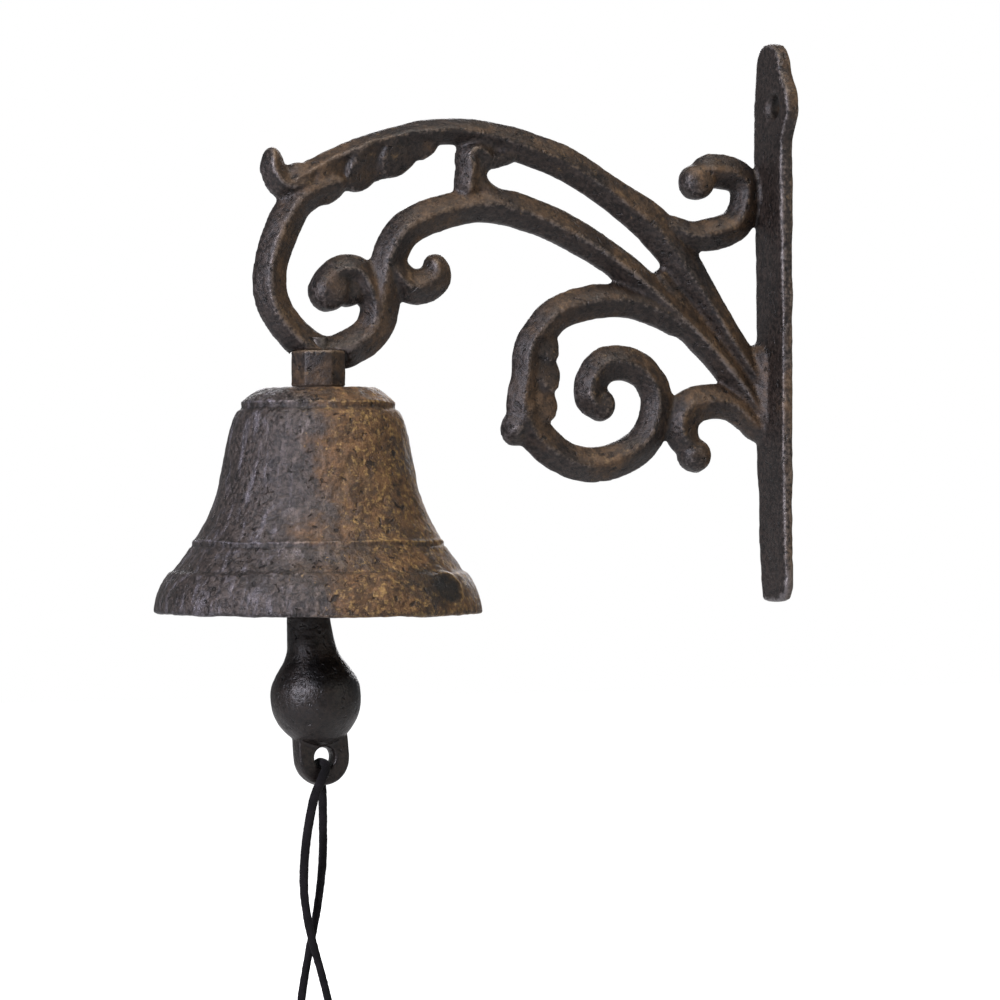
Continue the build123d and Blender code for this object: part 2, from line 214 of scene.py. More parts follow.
def resampled(line, along, even):
    """The line's points at even distances, where along gives the distance of each given point."""
    return np.stack([np.interp(even, along, line[:, k]) for k in range(line.shape[1])], axis=1)


def distances(line):
    """Distance of each point of a line from its start, along the line."""
    return np.append(0.0, np.cumsum(np.linalg.norm(np.diff(line, axis=0), axis=1)))


def with_modifiers_applied(piece):
    """Replaces a piece's mesh by the result of its modifiers."""
    bpy.context.view_layer.update()
    finished = bpy.data.meshes.new_from_object(piece.evaluated_get(bpy.context.evaluated_depsgraph_get()))
    finished.name = piece.name
    piece.modifiers.clear()
    piece.data = finished
    finished.polygons.foreach_set("use_smooth", np.ones(len(finished.polygons), bool))


def fuse(piece, voxel_mm, rounds):
    """Makes one casting of overlapping shells: voxel remesh, then smoothing that fills the inner corners."""
    remesh = piece.modifiers.new("fuse", "REMESH")
    remesh.mode = "VOXEL"
    remesh.voxel_size = voxel_mm * MM
    remesh.adaptivity = 0.0
    soften = piece.modifiers.new("soften", "SMOOTH")
    soften.factor = 0.5
    soften.iterations = rounds
    with_modifiers_applied(piece)


def vertex_array(data):
    """Vertex places of a mesh in millimetres."""
    flat = np.empty(len(data.vertices) * 3)
    data.vertices.foreach_get("co", flat)
    return flat.reshape(-1, 3) / MM


def set_vertices(data, points):
    """Writes vertex places given in millimetres."""
    data.vertices.foreach_set("co", (points * MM).ravel())
    data.update()


def normals_of(data):
    """Unit normal of each vertex."""
    flat = np.empty(len(data.vertices) * 3)
    data.vertex_normals.foreach_get("vector", flat)
    return flat.reshape(-1, 3)


def inside_box(points):
    """Holds points inside the CAD model's box."""
    low = np.array(cad_low) / MM + 0.01
    high = np.array(cad_high) / MM - 0.01
    return np.clip(points, low, high)


def store(data, name, values):
    """Keeps one number from 0 to 1 for each vertex, as an attribute that materials read."""
    layer = data.attributes.new(name, "FLOAT", "POINT")
    layer.data.foreach_set("value", np.clip(values, 0.0, 1.0).astype(np.float32))


def neighbour_mean(data, values, rounds):
    """Averages each vertex's value with the values at the other ends of its edges, several times."""
    ends = np.empty(len(data.edges) * 2, np.int64)
    data.edges.foreach_get("vertices", ends)
    a, b = ends.reshape(-1, 2).T
    count = np.bincount(a, minlength=len(values)) + np.bincount(b, minlength=len(values))
    count = np.maximum(count, 1)
    for _ in range(rounds):
        total = np.bincount(a, values[b], len(values)) + np.bincount(b, values[a], len(values))
        values = 0.5 * values + 0.5 * total / count
    return values


def crest_of(data, spread, gain):
    """How far each vertex stands out of its smoothed surroundings: crests near 1, hollows near 0."""
    points = vertex_array(data)
    smoothed = np.stack([neighbour_mean(data, points[:, k], spread) for k in range(3)], axis=1)
    height = np.sum((points - smoothed) * normals_of(data), axis=1)
    return np.clip(0.5 + height * gain, 0.0, 1.0)


# Bracket


def in_mm(shares):
    """Route points given in shares of the arm's reach, in millimetres."""
    return np.asarray(shares, float) * arm_reach


def bar(shell, route, width, depth, crest=1.25):
    """A flat-backed bar carried along a route in the arm's plane.

    Section: half width w, back at height 0, sides up to the edge height, then height = edge + (depth - edge)
    * (1 - s ^ crest), where s runs from 0 at the ridge to 1 at either side; the ridge stands lean half
    widths off the middle towards the bell. Width and depth may vary along the route. Each end shrinks to
    its centre line by the root of 1 - t^2 over half the width, so that it is round.
    """
    edge, lean, crowned_share = 2.2, 0.33, 0.62
    line = smooth_route(route, 0.6)
    along = np.linspace(0.0, 1.0, len(line))
    widths, depths = (np.interp(along, np.linspace(0, 1, len(v)), v) for v in (width, depth))
    heading = np.gradient(line, axis=0)
    heading /= np.linalg.norm(heading, axis=1)[:, None]
    side = np.stack((heading[:, 1], -heading[:, 0]), axis=1)
    length = np.sum(np.linalg.norm(np.diff(line, axis=0), axis=1))
    t = np.clip(1.0 - np.minimum(along, 1.0 - along) * length / (0.5 * widths), 0.0, 0.999)
    shrink = np.sqrt(1.0 - t * t)
    turn = np.linspace(0.0, 1.0, 40, endpoint=False)
    top = turn < crowned_share
    across = np.where(
        top, 1.0 - 2.0 * turn / crowned_share, -1.0 + 2.0 * (turn - crowned_share) / (1.0 - crowned_share))
    rise = top.astype(float)
    ridge = -lean * side[:, 0]
    aside = across[None, :] - ridge[:, None]
    aside = np.abs(aside) / np.where(aside > 0.0, 1.0 - ridge[:, None], 1.0 + ridge[:, None])
    bulge = rise[None, :] * (1.0 - np.clip(aside, 0.0, 1.0) ** crest)
    a = across[None, :] * (widths * shrink)[:, None] / 2
    edge_height = np.minimum(edge, 0.5 * depths)
    h = (rise[None, :] * edge_height[:, None] + bulge * (depths - edge_height)[:, None]) * shrink[:, None]
    x = line[:, 0][:, None] + side[:, 0][:, None] * a
    z = line[:, 1][:, None] + side[:, 1][:, None] * a
    shell.add(np.stack((x, back_y - h, z), axis=-1))


def on_back(shell, x, z, a, b, height, lean):
    """Adds a patch that stands on the arm's back plane at x and z, turned by lean degrees."""
    c, s = math.cos(math.radians(lean)), math.sin(math.radians(lean))
    shell.add(np.stack((x + a * c - b * s, back_y - height, z + a * s + b * c), axis=-1))


def knob(shell, x, z, radius, proud, stretch, lean):
    """A rounded boss on the arm's back plane: an ellipsoid's front half over a short straight wall.

    Across the plane it is radius by radius * stretch, turned by lean degrees; towards the viewer its height
    is proud * (0.3 + 0.7 * (1 - r^2.4) ^ (1 / 2.4)).
    """
    around = full_turn(40)
    dome = np.linspace(0.02, 1.0, 16)
    out = np.concatenate((dome, [1.0, 0.5, 0.02]))
    height = np.concatenate(((1.0 - dome**2.4) ** (1 / 2.4) * 0.7 + 0.3, np.zeros(3)))
    a = out[:, None] * np.cos(around)[None, :] * radius
    b = out[:, None] * np.sin(around)[None, :] * radius * stretch
    on_back(shell, x, z, a, b, proud * np.repeat(height[:, None], len(around), axis=1), lean)


def lobe(shell, x, z, long_mm, wide_mm, deep_mm, lean, lift, tilt, climb):
    """One fold of the leaf: an elliptic patch on the arm's back, turned by lean degrees, its walls upright.

    Height over the back = lift + deep * root(1 - (a / long)^2 - (b / wide)^2) + tilt * b + climb * a, where a
    runs along the fold and b across it."""
    around = full_turn(40)
    out = np.concatenate((np.linspace(0.02, 1.0, 14), [1.0, 0.02]))
    a = out[:, None] * np.cos(around)[None, :] * long_mm
    b = out[:, None] * np.sin(around)[None, :] * wide_mm
    height = lift + deep_mm * np.sqrt(1.0 - out**2)[:, None] + tilt * b + climb * a
    height[-2:] = 0.4
    on_back(shell, x, z, a, b, height, lean)


def plate_grid():
    """The wall plate: a rounded rectangle's section carried up the wall.

    Its near side follows the ear's circle and the knob's circle at the top, its far side narrows to the
    foot, and its thickness falls from the ear to the foot. The section is a superellipse of power 7.
    """
    half = plate_half_height
    z = np.concatenate((
        -half + 1.2 * (1 - np.cos(np.linspace(0, np.pi / 2, 8))),
        np.linspace(-half + 1.5, half - 8.0, 190),
        half - 7.5 + 7.5 * np.sin(np.linspace(0.02, np.pi / 2 - 0.001, 40)),
    ))
    ear_radius, knob_radius, half_width, knob_centre = 9.2, 7.5, 8.7, half - 7.5
    ear = hole_y - np.sqrt(np.clip(ear_radius**2 - (z - hole_z) ** 2, 0.0, None))
    knob_half = np.sqrt(np.clip(knob_radius**2 - np.clip(z - knob_centre, 0.0, None) ** 2, 0.01, None))
    near = np.where(z < 60.0, -half_width, -knob_half)
    near = np.where(np.abs(z - hole_z) < ear_radius, np.minimum(near, ear), near)
    near = np.convolve(np.pad(near, 3, mode="edge"), np.ones(7) / 7, mode="valid")
    near = np.where(z > 72.0, -knob_half, near)
    far = np.interp(
        z, [-half, hole_z - half, hole_z, knob_centre], [7.1, half_width, half_width, knob_radius])
    far = np.where(z > knob_centre, knob_half, far)
    foot = np.clip((z + half) / 6.0, 0.0, 1.0)
    near = near + 4.8 * (1.0 - np.sqrt(np.clip(1.0 - (1.0 - foot) ** 2, 0.0, None)))
    thick = np.interp(z, [-half, -38.75, 0.0, 50.5, half], [2.6, 3.7, 3.7, 4.5, 4.5])
    around = full_turn(72)
    power = 2.0 / 7.0
    cx = np.sign(np.cos(around)) * np.abs(np.cos(around)) ** power
    cy = np.sign(np.sin(around)) * np.abs(np.sin(around)) ** power
    end = np.minimum(1.0, np.sqrt(np.clip((z + half + 0.25) / 1.2, 0.04, 1.0)))
    middle = 0.5 * (near + far)
    width = 0.5 * (far - near)
    y = middle[:, None] + cy[None, :] * (width * end)[:, None]
    x = -0.5 * thick[:, None] - cx[None, :] * (0.5 * thick * end)[:, None]
    return np.stack((x, y, np.repeat(z[:, None], len(around), axis=1)), axis=-1)


def screw_cutter():
    """The screw hole's tool: a profile turned about the hole's axis, 6 mm wide, opening at 45 degrees."""
    around = full_turn(48)
    profile = np.array([(2.0, 3.0), (-3.1, 3.0), (-4.7, 4.7), (-8.0, 4.7)])
    x = np.repeat(profile[:, 0][:, None], len(around), axis=1)
    y = hole_y + profile[:, 1][:, None] * np.cos(around)[None, :]
    z = hole_z + profile[:, 1][:, None] * np.sin(around)[None, :]
    return np.stack((x, y, z), axis=-1)


outer_bar = in_mm([
    (-0.007, -0.207), (-0.088, -0.094), (-0.204, 0.009), (-0.343, 0.123), (-0.494, 0.201),
    (-0.628, 0.237), (-0.752, 0.208), (-0.833, 0.163), (-0.856, 0.057), (-0.869, -0.029),
    (-0.948, -0.074), (-1.002, -0.077), (-1.081, -0.002), (-1.102, 0.075), (-1.070, 0.176),
    (-1.017, 0.255), (-0.935, 0.270),
])
top_bar = in_mm([
    (-1.069, 0.250), (-1.002, 0.292), (-0.928, 0.328), (-0.852, 0.354), (-0.769, 0.372),
    (-0.670, 0.377), (-0.569, 0.354), (-0.462, 0.322), (-0.337, 0.247), (-0.248, 0.189),
    (-0.155, 0.061), (-0.073, -0.059), (-0.008, -0.144),
])
lower_scroll = in_mm([
    (-0.188, -0.015), (-0.231, 0.019), (-0.345, 0.050), (-0.475, 0.024), (-0.518, -0.024),
    (-0.543, -0.054), (-0.547, -0.125), (-0.557, -0.195), (-0.490, -0.268), (-0.414, -0.297),
    (-0.332, -0.279), (-0.273, -0.239), (-0.250, -0.165), (-0.272, -0.110), (-0.321, -0.082),
    (-0.374, -0.085), (-0.405, -0.118), (-0.407, -0.166), (-0.378, -0.178),
])
upper_curl = in_mm([
    (-0.262, 0.205), (-0.215, 0.190), (-0.177, 0.176), (-0.119, 0.185), (-0.070, 0.204),
    (-0.049, 0.260), (-0.060, 0.300), (-0.108, 0.313), (-0.150, 0.312), (-0.170, 0.290),
])
arch_curl = in_mm([
    (-0.007, -0.235), (-0.063, -0.176), (-0.115, -0.157), (-0.182, -0.167), (-0.204, -0.200),
    (-0.198, -0.243), (-0.161, -0.253),
])
volute = in_mm([
    (-0.894, -0.040), (-0.867, 0.006), (-0.882, 0.051), (-0.905, 0.091), (-0.943, 0.093),
    (-0.968, 0.073), (-0.988, 0.050), (-0.977, 0.038),
])
small_curl = in_mm([
    (-0.860, 0.117), (-0.834, 0.095), (-0.809, 0.067), (-0.790, 0.060), (-0.754, 0.068),
    (-0.735, 0.097), (-0.759, 0.126),
])
short_link = in_mm([
    (-0.680, 0.235), (-0.671, 0.266), (-0.666, 0.302), (-0.673, 0.333), (-0.644, 0.339),
    (-0.624, 0.323),
])
gap_end = in_mm([
    (-0.569, 0.335),
    (-0.609, 0.328), (-0.648, 0.313), (-0.656, 0.284), (-0.637, 0.255), (-0.587, 0.232),
])
leaf_tip = in_mm([
    (-1.002, 0.271), (-1.038, 0.254), (-1.069, 0.257), (-1.089, 0.286), (-1.091, 0.315),
    (-1.088, 0.331),
])
web = in_mm([(-0.260, 0.105), (-0.201, 0.039), (-0.151, -0.015)])
root_rib = in_mm([(-0.024, -0.040), (-0.028, -0.130), (-0.024, -0.222)])
scroll_horn = in_mm([(-0.531, -0.157), (-0.549, -0.198), (-0.575, -0.229), (-0.597, -0.239)])
leaf_bed = in_mm([(-1.019, 0.255), (-0.946, 0.285), (-0.850, 0.312), (-0.775, 0.350)])
scroll_bed = in_mm([(-0.504, -0.010), (-0.510, -0.081), (-0.513, -0.141), (-0.510, -0.212)])


def drilled_plate():
    """The wall plate with its screw hole cut."""
    plate = single_piece("plate_blank", plate_grid())
    cutter = single_piece("screw_cutter", screw_cutter())
    cut = plate.modifiers.new("screw_hole", "BOOLEAN")
    cut.operation = "DIFFERENCE"
    cut.solver = "EXACT"
    cut.object = cutter
    with_modifiers_applied(plate)
    bpy.data.objects.remove(cutter)
    return plate


def arm_shell():
    """The arm's bars, bosses and folds as overlapping shells."""
    shell = Shell()
    bar(shell, outer_bar, [8.7, 8.7, 8.8, 9.3, 10.1, 9.9, 10.9, 10.5, 9.4, 9.8, 9.2], [7.3])
    bar(shell, top_bar, [6.5, 6.0, 5.8, 7.1, 7.8, 9.6, 9.9, 9.8, 11.8, 11.8, 9.0, 8.8, 8.6], [7.0])
    bar(shell, lower_scroll, [8.6, 9.7, 9.6, 10.0, 8.9, 11.0, 9.9, 10.1, 9.9, 9.4, 10.6, 9.4], [7.0])
    bar(shell, scroll_horn, [8.2, 9.4, 9.8, 9.2], [6.9, 6.8, 6.6, 6.4], crest=1.6)
    bar(shell, upper_curl, [6.0, 8.2, 9.8, 9.5, 9.3, 10.0, 10.0], [4.6, 6.6, 7.0, 7.0, 7.0, 7.0, 7.0])
    bar(shell, arch_curl, [7.9, 9.2, 11.0, 10.0], [7.0])
    bar(shell, volute, [8.2, 8.4, 8.6, 9.6, 9.0], [7.2, 7.2, 7.2, 6.8])
    bar(shell, small_curl, [9.0, 9.3, 10.0, 9.5, 5.4], [6.8, 7.0, 6.8, 6.4])
    bar(shell, short_link, [9.0, 9.2, 8.4, 5.5], [6.8, 6.9, 6.6, 6.2])
    bar(shell, gap_end, [5.4, 5.6, 5.6, 5.4], [5.2], crest=1.8)
    bar(shell, leaf_tip, [6.0, 7.5, 8.4, 7.0, 3.4], [6.4, 7.2, 7.2, 6.6, 5.4])
    bar(shell, root_rib, [7.0], [7.8])
    bar(shell, web, [6.0], [4.5])
    bar(shell, leaf_bed, [6.5, 10.6, 10.0, 5.6], [3.0], crest=2.4)
    bar(shell, scroll_bed, [5.0, 6.6, 6.6, 5.4], [3.8], crest=2.4)
    for x, z, radius, proud, stretch, lean in (
        (-51.8, -22.9, 4.0, 6.0, 1.15, 0),
        (-22.8, 39.0, 5.0, 7.2, 1.0, 0),
        (-23.5, -36.6, 4.7, 7.0, 1.0, 0),
        (-87.8, 46.2, 4.6, 5.0, 1.0, 0),
        (-131.4, 7.1, 5.4, 7.2, 1.1, -30),
        (-2.5, -24.6, 3.0, 8.0, 1.0, 0),
        (-126.0, 7.2, 4.6, 5.6, 1.0, 0),
        (-140.0, 36.6, 4.5, 5.8, 1.0, 0),
    ):
        knob(shell, x, z, radius, proud, stretch, lean)
    for x, z, long_mm, wide_mm, lean, lift, tilt, climb in (
        (-130.9, 36.7, 7.9, 4.9, 60, 4.3, 0.50, 0.08),
        (-121.2, 40.7, 8.1, 5.0, 57, 4.3, 0.50, 0.08),
        (-111.2, 44.2, 7.7, 5.0, 50, 4.1, 0.48, 0.08),
        (-104.6, 47.0, 5.0, 4.0, 40, 3.6, 0.30, 0.08),
        (-68.4, -6.6, 5.0, 3.5, -72, 3.9, -0.24, 0.12),
        (-68.1, -14.2, 5.6, 3.6, -78, 3.9, -0.24, 0.14),
        (-68.6, -22.4, 5.4, 3.5, -84, 3.9, -0.24, 0.14),
    ):
        lobe(shell, x, z, long_mm, wide_mm, 0.5, lean, lift, tilt, climb)
    return shell


def make_bracket():
    """The whole casting: plate, bars, bosses and folds fused, then lumped by noise of three sizes, with thin
    flash along the back edge. The bars' undersides are cut flat where the nut seats."""
    plate = drilled_plate()
    shell = arm_shell()
    points = np.concatenate(shell.points)
    beside = np.hypot(points[:, 0] - bell_axis_x, points[:, 1] - bell_axis_y)
    points[:, 2] = np.where((beside < 7.8) & (points[:, 2] < seat_z), seat_z, points[:, 2])
    faces = np.concatenate(shell.quads).tolist() + shell.fans + faces_of(plate.data, len(points))
    data = new_mesh("scroll_bracket", np.vstack((points, vertex_array(plate.data))), faces)
    outward(data)
    bpy.data.objects.remove(plate)
    bracket = add_object("scroll_bracket", data)
    fuse(bracket, 0.68, 3)

    points = vertex_array(bracket.data)
    normal = normals_of(bracket.data)
    rough = 0.16 * lumps(points, 7.0, 11) + 0.11 * lumps(points, 2.6, 12) + 0.06 * lumps(points, 1.3, 13)
    flash = np.clip(lumps(points, 3.2, 14) - 0.55, 0.0, 1.0)
    flash *= np.exp(-((back_y - points[:, 1] - 2.0) ** 2) / 1.6)
    points = points + normal * (rough + 0.7 * flash)[:, None]
    points[:, 1] = np.minimum(points[:, 1], back_y)
    points[:, 0] = np.minimum(points[:, 0], -0.02)
    set_vertices(bracket.data, inside_box(points))
    from_hole = np.hypot(points[:, 1] - hole_y, points[:, 2] - hole_z)
    # Painted shade: the screw hole's wall takes the dark stain colour and no crest colour, so it reads as a
    # deep, shadowed hole.
    hole_shade = np.clip((3.4 - from_hole) / 0.5, 0.0, 1.0) * (points[:, 0] > -6.0)
    store(bracket.data, "wear_and_highlight", crest_of(bracket.data, 10, 1.3) * (1.0 - hole_shade))
    store(bracket.data, "stain_and_shade", hole_shade)
    # Partly painted light: faces turned to the right, the front and the top, where the warm lamps fall, take
    # more rust and flecks and ochre crests. The rest is rust placed by noise.
    facing = 0.70 * normal[:, 0] - 0.30 * normal[:, 1] + 0.55 * normal[:, 2]
    store(bracket.data, "rust_and_painted_light", 0.36 + 0.55 * facing + 0.3 * lumps(points, 9.0, 15))
    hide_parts("bracket")
    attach(bracket, "bracket_and_bell")
    return bracket


bracket_piece = make_bracket()


# Bell


def bell_profile():
    """Outline of the bell's wall as a closed loop of (radius, height over the mouth): out of the bolt hole,
    over the bevelled crown, down the flared body, round the lip and up inside."""
    top = smooth_route([(2.9, 60.3), (7.0, 60.3), (11.0, 60.3), (14.6, 60.3)], 0.7)
    bevel = smooth_route([(14.6, 60.3), (15.3, 60.2), (17.9, 58.6), (20.2, 56.7), (20.5, 56.2)], 0.35)
    body = smooth_route(
        [(20.5, 56.2), (20.6, 55.6), (21.2, 54.6), (22.9, 52.0), (23.9, 48.0), (24.8, 43.0), (26.1, 36.5),
         (27.8, 30.0), (30.5, 23.6), (34.4, 17.2), (38.7, 11.4), (41.6, 7.2), (43.3, 3.6), (43.7, 1.8)], 0.4)
    lip = smooth_route([(43.7, 1.8), (43.95, 0.7), (43.3, 0.0), (41.6, 0.0), (40.4, 0.4), (39.4, 2.0)], 0.35)
    inner = smooth_route(
        [(39.4, 2.0), (37.4, 4.8), (33.6, 10.6), (28.7, 18.6), (24.9, 27.0), (22.5, 36.0), (20.9, 44.0),
         (19.4, 50.0), (15.6, 55.3)], 0.7)
    crown = smooth_route([(15.6, 55.3), (11.0, 55.3), (7.0, 55.3), (2.9, 55.3)], 0.9)
    hole = np.array([(2.9, 57.8), (2.9, 60.3)])
    return np.vstack((top, bevel[1:], body[1:], lip[1:], inner[1:], crown[1:], hole[:-1]))


def make_bell():
    """The bell: its profile turned about its axis, then moved along its normals by a raised line, the
    skirt's step, the crown's groove, lumps, pits, and one shallow dark scar with a raised rim near the lip.
    Stores its crests, for a colour that is partly wear and partly painted highlight, the side where rust
    gathers, which also carries painted lamp colour, and where it is stained, with painted shade in its grooves
    and at the bottom of the lip."""
    profile = bell_profile()
    around = full_turn(330)
    radius, height = (np.repeat(profile[:, k][:, None], len(around), axis=1) for k in (0, 1))
    bell = single_piece("flared_bell", on_bell_axis(radius, around, mouth_z + height), wrap_rows=True)
    data = bell.data
    points = vertex_array(data)
    normal = normals_of(data)
    x, y, h = (points - (bell_axis_x, bell_axis_y, mouth_z)).T
    out = np.hypot(x, y)
    skin = (normal[:, 0] * x + normal[:, 1] * y) / np.maximum(out, 1.0)
    outside = np.clip(skin * 4.0 + normal[:, 2] * 2.0, 0.0, 1.0) * (out > 13.0)
    wobble = 0.5 * lumps(points, 14.0, 33)
    line_h, step_h, groove_h = 19.3, 11.2, 54.9
    line = h - line_h + wobble
    lines = 0.34 * np.exp(-((line / 0.5) ** 2)) - 0.24 * np.exp(-(((line + 0.95) / 0.45) ** 2))
    step = h - step_h + 0.7 * wobble
    lines += 0.60 / (1.0 + np.exp(step / 0.24)) * np.clip((h - 1.5) / 6.0, 0.0, 1.0)
    groove = h - groove_h + 0.4 * wobble
    lines += 0.16 * np.exp(-(((groove - 1.3) / 0.8) ** 2)) - 0.45 * np.exp(-((groove / 0.6) ** 2))
    rough = 0.24 * lumps(points, 12.0, 21) + 0.17 * lumps(points, 4.6, 22) + 0.10 * lumps(points, 2.0, 23)
    rough += 0.07 * lumps(points, 0.95, 25)
    pits = -0.55 * np.clip(lumps(points, 2.6, 24) - 0.5, 0.0, 1.0)
    scar_x, scar_y = 0.83, 0.56  # level direction along the scar
    across = (x - 21.4) * scar_x + (y + 31.5) * scar_y
    apart = np.sqrt((across / 5.6) ** 2 + ((h - 7.2) / 3.7) ** 2 + (out < 30.0) * 9.0)
    near = x * scar_y - y * scar_x > 0.0
    scar = np.clip((1.15 - apart) / 0.3, 0.0, 1.0) * (outside > 0.1) * near
    rim = 0.35 * np.exp(-(((apart - 1.12) / 0.14) ** 2)) * (across > 0.0) * (outside > 0.1) * near
    keep = np.clip((out - 8.0) / 2.0, 0.0, 1.0)
    move = keep * (outside * lines + (rough + pits) * (1.0 - 0.8 * scar) - 0.28 * scar + rim - 0.12)
    set_vertices(data, inside_box(points + normal * move[:, None]))
    store(data, "wear_and_highlight", crest_of(data, 6, 2.4))
    # Partly painted light: the side towards the camera's right takes more rust, flecks and ochre crests and no
    # painted highlight streaks. This stands in for the edge of the lamps' reflection. Part of it is real rust.
    sideways = x * right_x + y * right_y
    rust_and_painted_light = 0.35 + (sideways + 6.0 * lumps(points, 11.0, 26) + 5.0 * lumps(points, 4.2, 27)) / 24.0
    store(data, "rust_and_painted_light", rust_and_painted_light)
    blotch = np.sqrt(((across + 7.5) / 8.5) ** 2 + ((h - 7.5) / 5.5) ** 2 + (out < 30.0) * 9.0)
    blotch = 0.9 - blotch + 1.1 * lumps(points, 2.8, 28) + 0.6 * lumps(points, 1.2, 29)
    blotch = np.clip(blotch / 0.5, 0.0, 1.0) * near
    # Painted shade: darker in the crown's groove, in the groove under the raised line, in the corner above the
    # skirt's step and at the bottom of the lip.
    groove_shade = 0.75 * np.exp(-((groove / 0.55) ** 2)) + 0.55 * np.exp(-(((line + 0.95) / 0.4) ** 2))
    groove_shade += 0.6 * np.exp(-(((step - 0.35) / 0.4) ** 2)) + 0.7 * np.clip((1.6 - h) / 0.8, 0.0, 1.0)
    groove_shade *= np.clip(0.75 + 0.5 * lumps(points, 3.0, 30), 0.0, 1.0)
    store(data, "stain_and_shade", np.maximum(scar, np.maximum(0.7 * blotch, groove_shade) * np.clip(outside * 2.0, 0.0, 1.0)))
    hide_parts("bell")
    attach(bell, "bracket_and_bell")
    return bell


bell_piece = make_bell()


# Clapper

clapper_lean = math.radians(5.8)
ball_centre = np.array((bell_axis_x - 0.7, bell_axis_y, mouth_z - 22.2))
lean_down = np.array((math.sin(clapper_lean), 0.0, -math.cos(clapper_lean)))
lean_side = np.array((math.cos(clapper_lean), 0.0, math.sin(clapper_lean)))
eye_centre = np.array((bell_axis_x, bell_axis_y, -48.7))
lug_centre = ball_centre + 16.2 * lean_down


def turned(profile, start, heading, side):
    """A profile of (distance along, radius) turned about the line from start along heading."""
    profile = np.asarray(profile, float)
    across = np.cross(heading, side)
    around = full_turn(64)
    ring = np.cos(around)[:, None] * side[None, :] + np.sin(around)[:, None] * across[None, :]
    return (
        start[None, None, :]
        + profile[:, 0][:, None, None] * heading[None, None, :]
        + profile[:, 1][:, None, None] * ring[None, :, :]
    )


def ring_grid(centre, side, up, mean_radius, half_width, half_depth, power):
    """A closed ring: a superellipse section, half_width by half_depth, carried round a circle in the plane
    of side and up."""
    across = np.cross(side, up)
    around = full_turn(72)
    turn = full_turn(28)
    a = np.sign(np.cos(turn)) * np.abs(np.cos(turn)) ** (2 / power) * half_width
    b = np.sign(np.sin(turn)) * np.abs(np.sin(turn)) ** (2 / power) * half_depth
    direction = np.cos(around)[:, None] * side[None, :] + np.sin(around)[:, None] * up[None, :]
    return (
        centre[None, None, :]
        + direction[:, None, :] * (mean_radius + a)[None, :, None]
        + across[None, None, :] * b[None, :, None]
    )


def lug_grid():
    """The lug as a closed ring: round its hole the edge is a circle, and away from it a flat plate whose
    outline is a half circle below and runs straight up into the ball, with rounded rims.

    Each ring of the grid is a share of the way from the hole to the outline; the height over the middle
    plane follows (1 - t^2.6)^(1/2.6) at both edges, where t runs from 1 at the edge to 0 inside it."""
    angle = full_turn(96)
    inner = np.stack((np.cos(angle), np.sin(angle)), axis=1) * 2.62
    below = np.sin(angle) < 0.0
    half = 7.45
    outer = np.stack((np.cos(angle) * half, np.sin(angle) * np.where(below, 7.6, 9.0)), axis=1)
    upper = np.sign(outer[:, 0]) * np.minimum(half, np.abs(outer[:, 0]) * 1.35)
    outer[:, 0] = np.where(below, outer[:, 0], upper)
    share = np.concatenate((np.linspace(0.0, 1.0, 18), np.linspace(1.0, 0.0, 18)[1:-1]))
    face = np.concatenate((np.ones(18), -np.ones(16)))
    from_rim = np.minimum(share * 4.8 / 0.9, (1.0 - share) * 4.8 / 1.1)
    lift = face * 2.8 * (1.0 - np.clip(1.0 - from_rim, 0.0, 1.0) ** 2.6) ** (1 / 2.6)
    flat = inner[:, None, :] * (1.0 - share)[None, :, None] + outer[:, None, :] * share[None, :, None]
    depth = np.cross(lean_side, -lean_down)
    return (
        lug_centre[None, None, :]
        + flat[..., 0, None] * lean_side[None, None, :]
        - flat[..., 1, None] * lean_down[None, None, :]
        + lift[None, :, None] * depth[None, None, :]
    )


